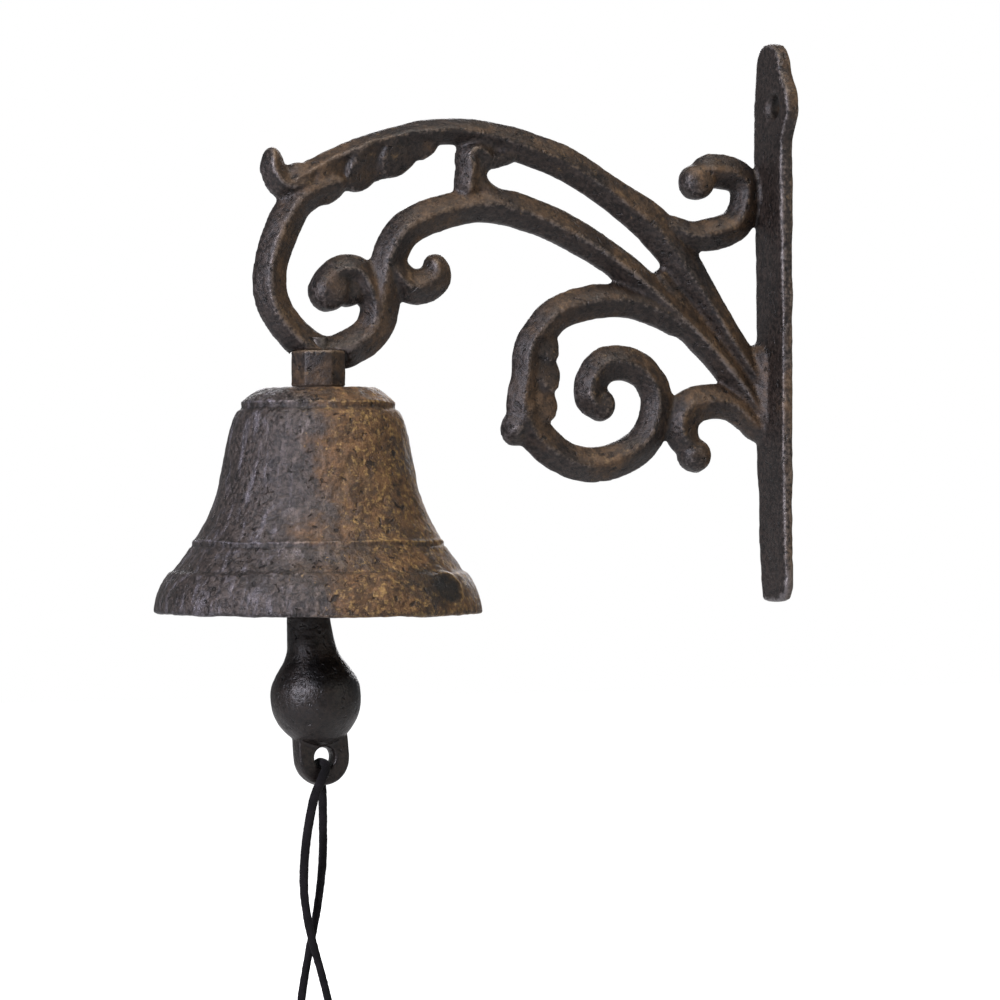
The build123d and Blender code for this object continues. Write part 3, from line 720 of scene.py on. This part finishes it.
def make_clapper():
    """The clapper: shank, swelling and ball turned about the leaning axis, with the top eye's ring and the
    pierced lug, fused and lumped like the other castings, and a dark stain on the ball."""
    shell = Shell()
    lower = smooth_route([(-22.2, 5.7), (-16.0, 6.0), (-11.0, 7.0), (-7.4, 9.6), (-3.4, 11.9), (1.2, 12.2),
                          (5.4, 11.3), (8.8, 8.9), (11.4, 6.4), (12.4, 4.0)], 0.5)
    lower = np.vstack(([(-22.2, 0.4)], lower, [(12.6, 0.4)]))
    shell.add(turned(lower, ball_centre, lean_down, lean_side))
    foot = ball_centre - 21.0 * lean_down
    head = eye_centre - np.array((0.0, 0.0, 3.0))
    length = np.linalg.norm(head - foot)
    upper = [(-0.5, 0.4), (-0.5, 5.7), (0.35 * length, 4.9), (length - 1.0, 3.0), (length, 2.2),
             (length, 0.2)]
    shell.add(turned(upper, foot, (head - foot) / length, lean_side))
    y_axis, z_axis = np.eye(3)[1:]
    shell.add(ring_grid(eye_centre, y_axis, z_axis, 3.27, 1.16, 1.7, 3.0), wrap_rows=True)
    shell.add(lug_grid(), wrap_rows=True)
    data = shell.mesh("cast_clapper")
    outward(data)
    piece = add_object("cast_clapper", data)
    fuse(piece, 0.34, 3)
    points = vertex_array(piece.data)
    normal = normals_of(piece.data)
    rough = 0.12 * lumps(points, 6.0, 41) + 0.07 * lumps(points, 2.4, 42) + 0.03 * lumps(points, 1.1, 43)
    calm = np.clip((-58.0 - points[:, 2]) / 6.0, 0.0, 1.0)
    in_lug = np.linalg.norm(points - lug_centre[None, :], axis=1) < 6.0
    points = points + normal * (rough * calm * np.where(in_lug, 0.25, 1.0))[:, None]
    set_vertices(piece.data, inside_box(points))
    store(piece.data, "wear_and_highlight", crest_of(piece.data, 12, 1.6))
    x, y, up = (points - ball_centre).T
    right = x * right_x + y * right_y
    toward = x * right_y - y * right_x
    apart = np.sqrt(((right - 4.6 + 0.25 * (up - 6.5)) / 8.0) ** 2 + ((up - 6.6) / 4.3) ** 2)
    edge = 0.22 * lumps(points, 2.4, 44) + 0.12 * lumps(points, 1.0, 45)
    store(piece.data, "stain_and_shade", np.clip((1.08 - apart + edge) / 0.22, 0.0, 1.0) * (toward > 0.0))
    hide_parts("clapper")
    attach(piece, "clapper")
    return piece


clapper_piece = make_clapper()


# Hexagon nut


def make_hex_nut():
    """The long nut: radius = half flats / cos(angle from the nearest facet's middle), with its corners eased
    by a power mean, carried from the crown to the arm, chamfered at both ends."""
    flats = 13.0
    turn = math.radians(10.0)
    around = full_turn(180)
    from_middle = (around - turn + np.pi / 6) % (np.pi / 3) - np.pi / 6
    hexagon = flats / 2 / np.cos(from_middle)
    hexagon = (hexagon**-24 + (flats / 2 * 1.125) ** -24) ** (-1 / 24)
    bottom = crown_z + 0.02
    top = seat_z - 0.02
    levels = [(2.53, 0.0, 0), (4.5, 0.0, 0), (0.9, 0.0, 1), (0.97, 0.25, 1), (1.0, 0.7, 1)]
    rows = [(share * (hexagon if hexed else 1.0), bottom + up) for share, up, hexed in levels]
    rows += [(hexagon, z) for z in np.linspace(bottom + 1.2, top - 1.2, 18)]
    rows += [(share * (hexagon if hexed else 1.0), top - up) for share, up, hexed in levels[::-1]]
    radius = np.stack([np.broadcast_to(r, around.shape) for r, _ in rows])
    height = np.stack([np.full(around.shape, z) for _, z in rows])
    piece = single_piece("coupling_nut", on_bell_axis(radius, around, height), wrap_rows=True)
    data = piece.data
    points = vertex_array(data)
    normal = normals_of(data)
    side = (points[:, 2] > bottom + 1.0) & (points[:, 2] < top - 1.0)
    side &= np.hypot(points[:, 0] - bell_axis_x, points[:, 1] - bell_axis_y) > 5.0
    move = np.where(side, 0.12 * lumps(points, 4.0, 51) + 0.05 * lumps(points, 1.5, 52) - 0.1, 0.0)
    set_vertices(data, points + normal * move[:, None])
    store(data, "wear_and_highlight", crest_of(data, 4, 2.5))
    store(data, "rust_and_painted_light", 0.62 + 0.4 * lumps(points, 4.0, 53))
    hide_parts("hex_nut")
    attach(piece, "bracket_and_bell")
    return piece


nut_piece = make_hex_nut()


# Pull cord

cord_diameter = 0.0025
front_points = [
    (-0.13414, 0.00475, -0.11886), (-0.13414, 0.00045, -0.11886), (-0.13584, -0.00045, -0.12275),
    (-0.13794, 0.0003, -0.12705), (-0.13914, 0.0013, -0.13454), (-0.13994, 0.0027, -0.14356),
    (-0.13994, 0.0032, -0.15397), (-0.13824, 0.003, -0.16396), (-0.13494, 0.0031, -0.17464),
    (-0.13174, 0.0038, -0.18602), (-0.13044, 0.0044, -0.201), (-0.13124, 0.0048, -0.21904),
    (-0.13224, 0.0047, -0.23597), (-0.1338, 0.00475, -0.24707), (-0.1338, 0.00475, -0.25762),
]
rear_points = [
    (-0.13414, 0.00475, -0.11886), (-0.13414, 0.00905, -0.11886), (-0.13244, 0.00995, -0.12275),
    (-0.13224, 0.0094, -0.1276), (-0.13244, 0.0083, -0.13648), (-0.13304, 0.0071, -0.14647),
    (-0.13474, 0.0064, -0.15799), (-0.13724, 0.0062, -0.16895), (-0.13954, 0.0061, -0.18144),
    (-0.14094, 0.0058, -0.19698), (-0.14044, 0.0052, -0.21599), (-0.13854, 0.005, -0.235),
    (-0.1366, 0.00475, -0.24707), (-0.1366, 0.00475, -0.25762),
]


def spline_points(name, points):
    """Points along the smooth NURBS line that the route's points steer."""
    curve = bpy.data.curves.new(name, "CURVE")
    curve.dimensions = "3D"
    spline = curve.splines.new("NURBS")
    spline.points.add(len(points) - 1)
    spline.points.foreach_set("co", np.hstack((np.array(points), np.ones((len(points), 1)))).ravel())
    spline.order_u = 3
    spline.use_endpoint_u = True
    spline.resolution_u = 24
    holder = bpy.data.objects.new(name, curve)
    bpy.context.scene.collection.objects.link(holder)
    bpy.context.view_layer.update()
    line = bpy.data.meshes.new_from_object(holder)
    flat = np.empty(len(line.vertices) * 3)
    line.vertices.foreach_get("co", flat)
    bpy.data.objects.remove(holder)
    bpy.data.meshes.remove(line)
    return flat.reshape(-1, 3)


def tube_grid(line, radius, columns, spacing, squash=1.0, twist=0.0):
    """A round tube carried along a line, its sides kept from turning by carrying one side vector along.

    All in millimetres. Each ring is squash times thinner one way, and that way turns by twist degrees a
    millimetre."""
    along = distances(line)
    even = np.linspace(0, along[-1], max(12, int(along[-1] / spacing)))
    line = resampled(line, along, even)
    heading = np.gradient(line, axis=0)
    heading /= np.linalg.norm(heading, axis=1)[:, None]
    side = np.empty_like(heading)
    carried = np.cross(heading[0], (0.3, 0.2, 0.9))
    for i, forward in enumerate(heading):
        carried = carried - forward * np.dot(carried, forward)
        carried /= np.linalg.norm(carried)
        side[i] = carried
    other = np.cross(heading, side)
    around = np.linspace(0, 2 * np.pi, columns, endpoint=False)
    turn = np.radians(twist) * even
    u = radius * np.cos(around)[None, :] * np.ones(len(even))[:, None]
    v = radius * squash * np.sin(around)[None, :] * np.ones(len(even))[:, None]
    c, s = np.cos(turn)[:, None], np.sin(turn)[:, None]
    return (
        line[:, None, :]
        + (u * c - v * s)[..., None] * side[:, None, :]
        + (u * s + v * c)[..., None] * other[:, None, :]
    )


def nap_of(places):
    """How far the cord's nap stands out, by noise of two sizes."""
    return 0.05 * lumps(places, 0.9, 61) + 0.04 * lumps(places, 0.45, 62)


def make_strand(name, points, node):
    """One half of the pull cord: a slightly flat, twisted tube along its NURBS line, napped by fine noise."""
    line = spline_points(name + "_line", points)
    piece = single_piece(name, tube_grid(line / MM, cord_diameter / MM / 2, 28, 0.22, squash=0.88, twist=1.4))
    places = vertex_array(piece.data)
    nap = nap_of(places) + 0.05 * lumps(places, 3.0, 63)
    set_vertices(piece.data, places + normals_of(piece.data) * (nap - 0.03)[:, None])
    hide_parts(node)
    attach(piece, "clapper")
    return piece, line


def make_knot():
    """The knot: the cord's ends wound twice round the pair as a helix that swells at its middle, with one
    crossing wrap, all inside the knot's barrel."""
    t = np.linspace(0.0, 1.0, 240)
    angle = 2 * np.pi * 2.2 * t
    top = mouth_z - 22.2 - 16.2 * math.cos(clapper_lean) - 140.0
    radius = 2.3 + 0.4 * np.sin(np.pi * t)
    helix = on_bell_axis(radius, angle, (top - 1.35 - 4.3 * t)[None, :])[0]
    cross = on_bell_axis(2.62, 0.6 + 2.2 * t, (top - 5.55 + 4.1 * t)[None, :])[0]
    core = on_bell_axis(0.0, np.zeros(40), np.linspace(top - 0.2, top - 6.8, 40)[None, :])[0]
    shell = Shell()
    for line, thick in ((helix, 1.22), (cross, 1.1), (core, 2.0)):
        shell.add(tube_grid(line, thick, 24, 0.25))
    data = shell.mesh("cord_knot")
    outward(data)
    piece = add_object("cord_knot", data)
    fuse(piece, 0.24, 2)
    places = vertex_array(piece.data)
    set_vertices(piece.data, inside_box(places + normals_of(piece.data) * (nap_of(places) - 0.03)[:, None]))
    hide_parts("end_knot")
    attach(piece, "clapper")
    return piece


knot_piece = make_knot()
front_piece, front_line = make_strand("cord_front", front_points, "front_strand")
rear_piece, rear_line = make_strand("cord_rear", rear_points, "rear_strand")


# Shared shader groups


def new_group(name, inputs, outputs):
    """A shader node group with named number or colour sockets."""
    group = bpy.data.node_groups.new(name, "ShaderNodeTree")
    for label, kind, value in inputs:
        socket = group.interface.new_socket(label, in_out="INPUT", socket_type=kind)
        socket.default_value = value
    for label, kind in outputs:
        group.interface.new_socket(label, in_out="OUTPUT", socket_type=kind)
    return group, group.nodes.new("NodeGroupInput"), group.nodes.new("NodeGroupOutput")


def noise_node(tree, vector, scale, detail=4.0, roughness=0.6, distortion=0.0):
    """A noise texture on the given coordinates; scale may be a number or a socket."""
    node = tree.nodes.new("ShaderNodeTexNoise")
    node.inputs["Detail"].default_value = detail
    node.inputs["Roughness"].default_value = roughness
    node.inputs["Distortion"].default_value = distortion
    tree.links.new(vector, node.inputs["Vector"])
    feed(tree, node.inputs["Scale"], scale)
    return node.outputs["Fac"]


def feed(tree, socket, value):
    """Gives a socket a number or a link."""
    if isinstance(value, (int, float)):
        socket.default_value = value
    else:
        tree.links.new(value, socket)


def math_node(tree, operation, a, b, clamp=False):
    """One math step on sockets or numbers."""
    node = tree.nodes.new("ShaderNodeMath")
    node.operation = operation
    node.use_clamp = clamp
    for socket, value in zip(node.inputs, (a, b)):
        feed(tree, socket, value)
    return node.outputs[0]


def product(tree, a, b):
    """Product of two sockets or numbers."""
    return math_node(tree, "MULTIPLY", a, b)


def total(tree, a, b):
    """Sum of two sockets or numbers."""
    return math_node(tree, "ADD", a, b)


def difference(tree, a, b, clamp=False):
    """Difference of two sockets or numbers."""
    return math_node(tree, "SUBTRACT", a, b, clamp)


def ramp(tree, value, low, high):
    """Maps low..high to 0..1, smoothly and clamped."""
    node = tree.nodes.new("ShaderNodeMapRange")
    node.interpolation_type = "SMOOTHSTEP"
    tree.links.new(value, node.inputs["Value"])
    node.inputs["From Min"].default_value = low
    node.inputs["From Max"].default_value = high
    return node.outputs["Result"]


def mix_colour(tree, factor, a, b):
    """Mixes two colours, given as tuples or sockets."""
    node = tree.nodes.new("ShaderNodeMix")
    node.data_type = "RGBA"
    tree.links.new(factor, node.inputs["Factor"])
    for socket, value in ((node.inputs["A"], a), (node.inputs["B"], b)):
        if isinstance(value, tuple):
            socket.default_value = (*value, 1.0)
        else:
            tree.links.new(value, socket)
    return node.outputs["Result"]


def cast_skin_group():
    """Sand-cast skin: Height is grain and swell less sharp pits, Grain the fine mottle, Pits 1 in a pit."""
    group, start, stop = new_group(
        "cast_skin",
        [("Vector", "NodeSocketVector", (0, 0, 0)), ("Grain Scale", "NodeSocketFloat", 900.0),
         ("Pit Scale", "NodeSocketFloat", 420.0)],
        [("Height", "NodeSocketFloat"), ("Grain", "NodeSocketFloat"), ("Pits", "NodeSocketFloat")])
    vector = start.outputs["Vector"]
    grain = noise_node(group, vector, start.outputs["Grain Scale"], 5.0, 0.65)
    swell = noise_node(group, vector, 260.0, 3.0, 0.5)
    pit_noise = noise_node(group, vector, start.outputs["Pit Scale"], 3.0, 0.55, 0.4)
    pits = ramp(group, pit_noise, 0.60, 0.72)
    height = total(group, product(group, grain, 0.55), product(group, swell, 0.7))
    height = difference(group, height, product(group, pits, 0.55))
    for label, value in (("Height", height), ("Grain", grain), ("Pits", pits)):
        group.links.new(value, stop.inputs[label])
    return group


def rust_group():
    """Rust and streaks: Patches is high in wide blotches, Flecks in small specks; Tint varies the rust's
    shade, Grime is 1 where dirt darkens the skin, and Streaks is 1 in thin upright runs, which the iron uses
    for painted highlight streaks."""
    group, start, stop = new_group(
        "rust",
        [("Vector", "NodeSocketVector", (0, 0, 0)), ("Patch Scale", "NodeSocketFloat", 38.0),
         ("Fleck Scale", "NodeSocketFloat", 300.0)],
        [("Patches", "NodeSocketFloat"), ("Flecks", "NodeSocketFloat"), ("Tint", "NodeSocketFloat"),
         ("Grime", "NodeSocketFloat"), ("Streaks", "NodeSocketFloat")])
    vector = start.outputs["Vector"]
    drawn = group.nodes.new("ShaderNodeVectorMath")
    drawn.operation = "MULTIPLY"
    drawn.inputs[1].default_value = (1.0, 1.0, 0.16)
    group.links.new(vector, drawn.inputs[0])
    patches = noise_node(group, vector, start.outputs["Patch Scale"], 7.0, 0.72, 0.3)
    flecks = noise_node(group, vector, start.outputs["Fleck Scale"], 5.0, 0.75)
    tint = ramp(group, noise_node(group, vector, 380.0, 5.0, 0.72), 0.36, 0.66)
    grime = ramp(group, noise_node(group, vector, 190.0, 6.0, 0.74, 0.2), 0.50, 0.66)
    highlight_streaks = ramp(group, noise_node(group, drawn.outputs[0], 360.0, 5.0, 0.68), 0.50, 0.68)
    for label, value in (("Patches", patches), ("Flecks", flecks), ("Tint", tint), ("Grime", grime),
                         ("Streaks", highlight_streaks)):
        group.links.new(value, stop.inputs[label])
    return group


cast_skin = cast_skin_group()
rust = rust_group()


def place_group(tree, group, vector, **values):
    """Puts a group into a material on these coordinates, with its own values."""
    node = tree.nodes.new("ShaderNodeGroup")
    node.node_tree = group
    tree.links.new(vector, node.inputs["Vector"])
    for label, value in values.items():
        node.inputs[label.replace("_", " ")].default_value = value
    return node


def new_material(name):
    """A material with its node tree and its shader."""
    material = bpy.data.materials.new(name)
    material.use_nodes = True
    return material, material.node_tree, material.node_tree.nodes["Principled BSDF"]


def add_bump(tree, shader, height, strength, distance_mm):
    """Lets a height field tilt the shader's normal."""
    bump = tree.nodes.new("ShaderNodeBump")
    bump.inputs["Strength"].default_value = strength
    bump.inputs["Distance"].default_value = distance_mm * MM
    tree.links.new(height, bump.inputs["Height"])
    tree.links.new(bump.outputs["Normal"], shader.inputs["Normal"])


def attribute_value(tree, name):
    """A number that the mesh stores for each vertex."""
    node = tree.nodes.new("ShaderNodeAttribute")
    node.attribute_name = name
    return node.outputs["Fac"]


def shade(colour, factor):
    """A colour made lighter or darker."""
    return tuple(factor * c for c in colour)


def iron(name, dark, middle, worn_and_highlight, rust_colour, ochre, rust_level, fleck_level, rough_low, rough_high,
         bump_mm, wear_and_highlight_share=0.6, metal=0.3, has_wear_and_highlight=True, stain_and_shade_colour=None, rust_and_painted_light=False, fleck_scale=330.0,
         grime_share=0.6, highlight_streak_share=0.0):
    """Cast iron: dark skin, rust in blotches and specks, lightened crests that are partly bare worn metal and
    partly painted highlight, thin upright painted highlight streaks, and darker pits and grime.

    With the rust-and-light flag, rust and flecks gather, the crest colour turns a brighter ochre that is
    partly painted warm lamp light, and the painted highlight streaks fade where the mesh stores that value.
    With a stain colour, that colour covers the skin where the mesh stores its stain value, which holds real
    stains and painted shade. The levels say how high the rust's noise must be, the shares how much of a layer
    shows, and bump_mm how deep the skin's relief is shaded."""
    material, tree, shader = new_material(name)
    vector = tree.nodes.new("ShaderNodeTexCoord").outputs["Object"]
    skin = place_group(tree, cast_skin, vector)
    oxide = place_group(tree, rust, vector, Fleck_Scale=fleck_scale)
    colour = mix_colour(tree, ramp(tree, skin.outputs["Grain"], 0.36, 0.64), dark, middle)
    patch_level = oxide.outputs["Patches"]
    fleck_noise = oxide.outputs["Flecks"]
    if rust_and_painted_light:
        lean = product(tree, difference(tree, attribute_value(tree, "rust_and_painted_light"), 0.5), 0.30)
        patch_level = total(tree, patch_level, lean)
        fleck_noise = total(tree, fleck_noise, product(tree, lean, 0.5))
        worn_and_highlight = mix_colour(tree, attribute_value(tree, "rust_and_painted_light"), worn_and_highlight, shade(ochre, 1.2))
    patches = ramp(tree, patch_level, rust_level, rust_level + 0.22)
    rusty = mix_colour(tree, oxide.outputs["Tint"], shade(rust_colour, 0.35), shade(rust_colour, 1.35))
    colour = mix_colour(tree, patches, colour, rusty)
    flecks = ramp(tree, fleck_noise, fleck_level, fleck_level + 0.14)
    colour = mix_colour(tree, product(tree, flecks, 0.75), colour, ochre)
    # Painted highlight: thin upright streaks take the crest colour, away from the rust side.
    highlight_streaks = product(tree, oxide.outputs["Streaks"], highlight_streak_share)
    if rust_and_painted_light:
        highlight_streaks = product(tree, highlight_streaks, difference(tree, 1.0, attribute_value(tree, "rust_and_painted_light")))
    colour = mix_colour(tree, highlight_streaks, colour, worn_and_highlight)
    grime = product(tree, oxide.outputs["Grime"], grime_share)
    colour = mix_colour(tree, grime, colour, shade(dark, 0.6))
    colour = mix_colour(tree, product(tree, skin.outputs["Pits"], 0.85), colour, shade(dark, 0.35))
    roughness = total(tree, product(tree, skin.outputs["Grain"], rough_high - rough_low), rough_low)
    roughness = total(tree, roughness, product(tree, patches, 0.16))
    roughness = difference(tree, roughness, product(tree, highlight_streaks, 0.3), clamp=True)
    if has_wear_and_highlight:
        # Crests take the worn colour: partly bare worn metal, partly painted highlight.
        uneven = product(tree, difference(tree, skin.outputs["Grain"], 0.5), 0.9)
        bare_and_highlit = ramp(tree, total(tree, attribute_value(tree, "wear_and_highlight"), uneven), 0.70, 0.95)
        colour = mix_colour(tree, product(tree, bare_and_highlit, wear_and_highlight_share), colour, worn_and_highlight)
        roughness = difference(tree, roughness, product(tree, bare_and_highlit, 0.14), clamp=True)
    if stain_and_shade_colour:
        colour = mix_colour(tree, product(tree, attribute_value(tree, "stain_and_shade"), 0.9), colour, stain_and_shade_colour)
    tree.links.new(colour, shader.inputs["Base Color"])
    tree.links.new(roughness, shader.inputs["Roughness"])
    shader.inputs["Metallic"].default_value = metal
    add_bump(tree, shader, skin.outputs["Height"], 1.0, bump_mm)
    return material


# The bracket's stain colour is used only for the painted shade inside the screw hole.
bracket_iron = iron(
    "bracket_iron", dark=(0.0064, 0.0046, 0.0040), middle=(0.035, 0.0250, 0.0205), worn_and_highlight=(0.20, 0.185, 0.185),
    rust_colour=(0.085, 0.050, 0.026), ochre=(0.175, 0.112, 0.055), rust_level=0.45, fleck_level=0.60,
    rough_low=0.32, rough_high=0.58, bump_mm=0.50, wear_and_highlight_share=0.4, stain_and_shade_colour=(0.0022, 0.0018, 0.0016), rust_and_painted_light=True)
# The bell's crest colour is tinted violet like the key lamp's highlight: painted highlight.
bell_iron = iron(
    "bell_iron", dark=(0.0105, 0.0080, 0.0070), middle=(0.062, 0.0475, 0.0410), worn_and_highlight=(0.205, 0.190, 0.215),
    rust_colour=(0.128, 0.066, 0.027), ochre=(0.34, 0.212, 0.074), rust_level=0.45, fleck_level=0.57,
    rough_low=0.24, rough_high=0.50, bump_mm=1.0, stain_and_shade_colour=(0.0075, 0.0078, 0.0078), rust_and_painted_light=True,
    fleck_scale=620.0, grime_share=0.8, highlight_streak_share=0.45)
clapper_iron = iron(
    "clapper_iron", dark=(0.0046, 0.0031, 0.0026), middle=(0.0150, 0.0100, 0.0078), worn_and_highlight=(0.085, 0.074, 0.080),
    rust_colour=(0.042, 0.025, 0.016), ochre=(0.068, 0.046, 0.030), rust_level=0.52, fleck_level=0.66,
    rough_low=0.24, rough_high=0.46, bump_mm=0.45, wear_and_highlight_share=0.35, stain_and_shade_colour=(0.0016, 0.0013, 0.0014))
fastener_steel = iron(
    "fastener_steel", dark=(0.05, 0.043, 0.038), middle=(0.13, 0.115, 0.10), worn_and_highlight=(0.2, 0.18, 0.16),
    rust_colour=(0.12, 0.062, 0.03), ochre=(0.2, 0.12, 0.055), rust_level=0.58, fleck_level=0.66,
    rough_low=0.4, rough_high=0.65, bump_mm=0.12, metal=0.7, has_wear_and_highlight=False)


def suede():
    """Black suede cord: nearly black nap with fine lighter fibres and a soft sheen."""
    material, tree, shader = new_material("suede_cord")
    vector = tree.nodes.new("ShaderNodeTexCoord").outputs["Object"]
    nap = noise_node(tree, vector, 1800.0, 4.0, 0.7)
    broad = noise_node(tree, vector, 260.0, 3.0, 0.6)
    colour = mix_colour(
        tree, ramp(tree, broad, 0.35, 0.7), (0.0024, 0.0020, 0.0025), (0.0075, 0.0060, 0.0074))
    colour = mix_colour(tree, ramp(tree, nap, 0.64, 0.80), colour, (0.032, 0.028, 0.031))
    tree.links.new(colour, shader.inputs["Base Color"])
    shader.inputs["Roughness"].default_value = 0.92
    shader.inputs["Specular IOR Level"].default_value = 0.2
    shader.inputs["Sheen Weight"].default_value = 0.02
    shader.inputs["Sheen Roughness"].default_value = 0.5
    add_bump(tree, shader, nap, 0.8, 0.12)
    return material


suede_cord = suede()


for piece, material in (
    (bracket_piece, bracket_iron), (nut_piece, bracket_iron), (bell_piece, bell_iron),
    (clapper_piece, clapper_iron), (front_piece, suede_cord), (rear_piece, suede_cord),
    (knot_piece, suede_cord),
):
    piece.data.materials.clear()
    piece.data.materials.append(material)
for node in ("eye_bolt", "crown_washer", "lock_nut", "hook"):
    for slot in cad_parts[node].material_slots:
        slot.material = fastener_steel


# Stage, lights and camera


def stage_material(name, colour, camera_glow):
    """Pale matt surface that the camera also sees brightened, so that it comes out white with its shadow.

    The glow rises to 1 from half a metre to two metres out, where the lamps no longer reach."""
    material, tree, shader = new_material(name)
    shader.inputs["Base Color"].default_value = (*colour, 1.0)
    shader.inputs["Roughness"].default_value = 0.9
    glow = tree.nodes.new("ShaderNodeEmission")
    glow.inputs["Color"].default_value = (1.0, 1.0, 1.0, 1.0)
    path = tree.nodes.new("ShaderNodeLightPath")
    far = tree.nodes.new("ShaderNodeVectorMath")
    far.operation = "LENGTH"
    tree.links.new(tree.nodes.new("ShaderNodeTexCoord").outputs["Object"], far.inputs[0])
    rise = product(tree, ramp(tree, far.outputs["Value"], 0.5, 2.0), 1.0 - camera_glow)
    level = total(tree, rise, camera_glow)
    strength = product(tree, path.outputs["Is Camera Ray"], level)
    tree.links.new(strength, glow.inputs["Strength"])
    both = tree.nodes.new("ShaderNodeAddShader")
    tree.links.new(shader.outputs[0], both.inputs[0])
    tree.links.new(glow.outputs[0], both.inputs[1])
    tree.links.new(both.outputs[0], tree.nodes["Material Output"].inputs["Surface"])
    return material


def make_floor():
    """A flat pale floor below the hanging cord."""
    x, y = np.meshgrid(np.linspace(-3.0, 3.0, 3), np.linspace(-3.0, 4.0, 3), indexing="ij")
    floor_z = -0.30
    places = np.stack((x, y, np.full(x.shape, floor_z)), axis=-1).reshape(-1, 3)
    data = new_mesh("floor", places / MM, grid_faces(3, 3, wrap_columns=False).tolist())
    floor = bpy.data.objects.new("floor", data)
    bpy.context.scene.collection.objects.link(floor)
    data.materials.append(stage_material("floor_white", (0.62, 0.62, 0.62), 0.78))


make_floor()

scene = bpy.context.scene
scene.view_settings.view_transform = "Standard"
world = bpy.data.worlds.new("studio")
world.use_nodes = True
scene.world = world
world_tree = world.node_tree
background = world_tree.nodes["Background"]
background.inputs["Color"].default_value = (0.93, 0.96, 1.0, 1.0)
background.inputs["Strength"].default_value = 0.21
white = world_tree.nodes.new("ShaderNodeBackground")
white.inputs["Color"].default_value = (1.0, 1.0, 1.0, 1.0)
white.inputs["Strength"].default_value = 1.0
seen = world_tree.nodes.new("ShaderNodeLightPath")
choose = world_tree.nodes.new("ShaderNodeMixShader")
world_tree.links.new(seen.outputs["Is Camera Ray"], choose.inputs["Fac"])
world_tree.links.new(background.outputs[0], choose.inputs[1])
world_tree.links.new(white.outputs[0], choose.inputs[2])
world_tree.links.new(choose.outputs[0], world_tree.nodes["World Output"].inputs["Surface"])


def soft_lamp(name, place, target, size, watts, colour):
    """A square area lamp that looks from its place at its target."""
    lamp = bpy.data.lights.new(name, "AREA")
    lamp.size = size
    lamp.energy = watts
    lamp.color = colour
    holder = bpy.data.objects.new(name, lamp)
    scene.collection.objects.link(holder)
    holder.location = place
    aim = np.array(target) - np.array(place)
    flat = math.hypot(aim[0], aim[1])
    holder.rotation_euler = (math.atan2(flat, -aim[2]), 0.0, math.atan2(aim[1], aim[0]) - math.pi / 2)


soft_lamp("key", (-1.30, -0.62, 0.42), (-0.10, 0.0, -0.02), 0.50, 28.0, (0.89, 0.88, 1.0))
soft_lamp("fill", (0.75, -0.95, 0.25), (-0.10, 0.0, -0.02), 0.6, 3.0, (1.0, 0.92, 0.82))
soft_lamp("top", (-0.05, -0.35, 1.25), (-0.10, 0.0, 0.0), 0.6, 12.0, (1.0, 0.95, 0.88))
soft_lamp("rear", (0.55, 1.30, 0.45), (-0.10, 0.0, -0.02), 0.8, 11.0, (0.98, 0.97, 1.0))

camera_data = bpy.data.cameras.new("camera")
camera_data.sensor_width = 36.0
camera_data.lens = 152.93
camera = bpy.data.objects.new("camera", camera_data)
scene.collection.objects.link(camera)
camera.location = (-0.53276, -1.05576, -0.04903)
camera.rotation_euler = (math.pi / 2, 0.0, math.radians(-23.0))
scene.camera = camera
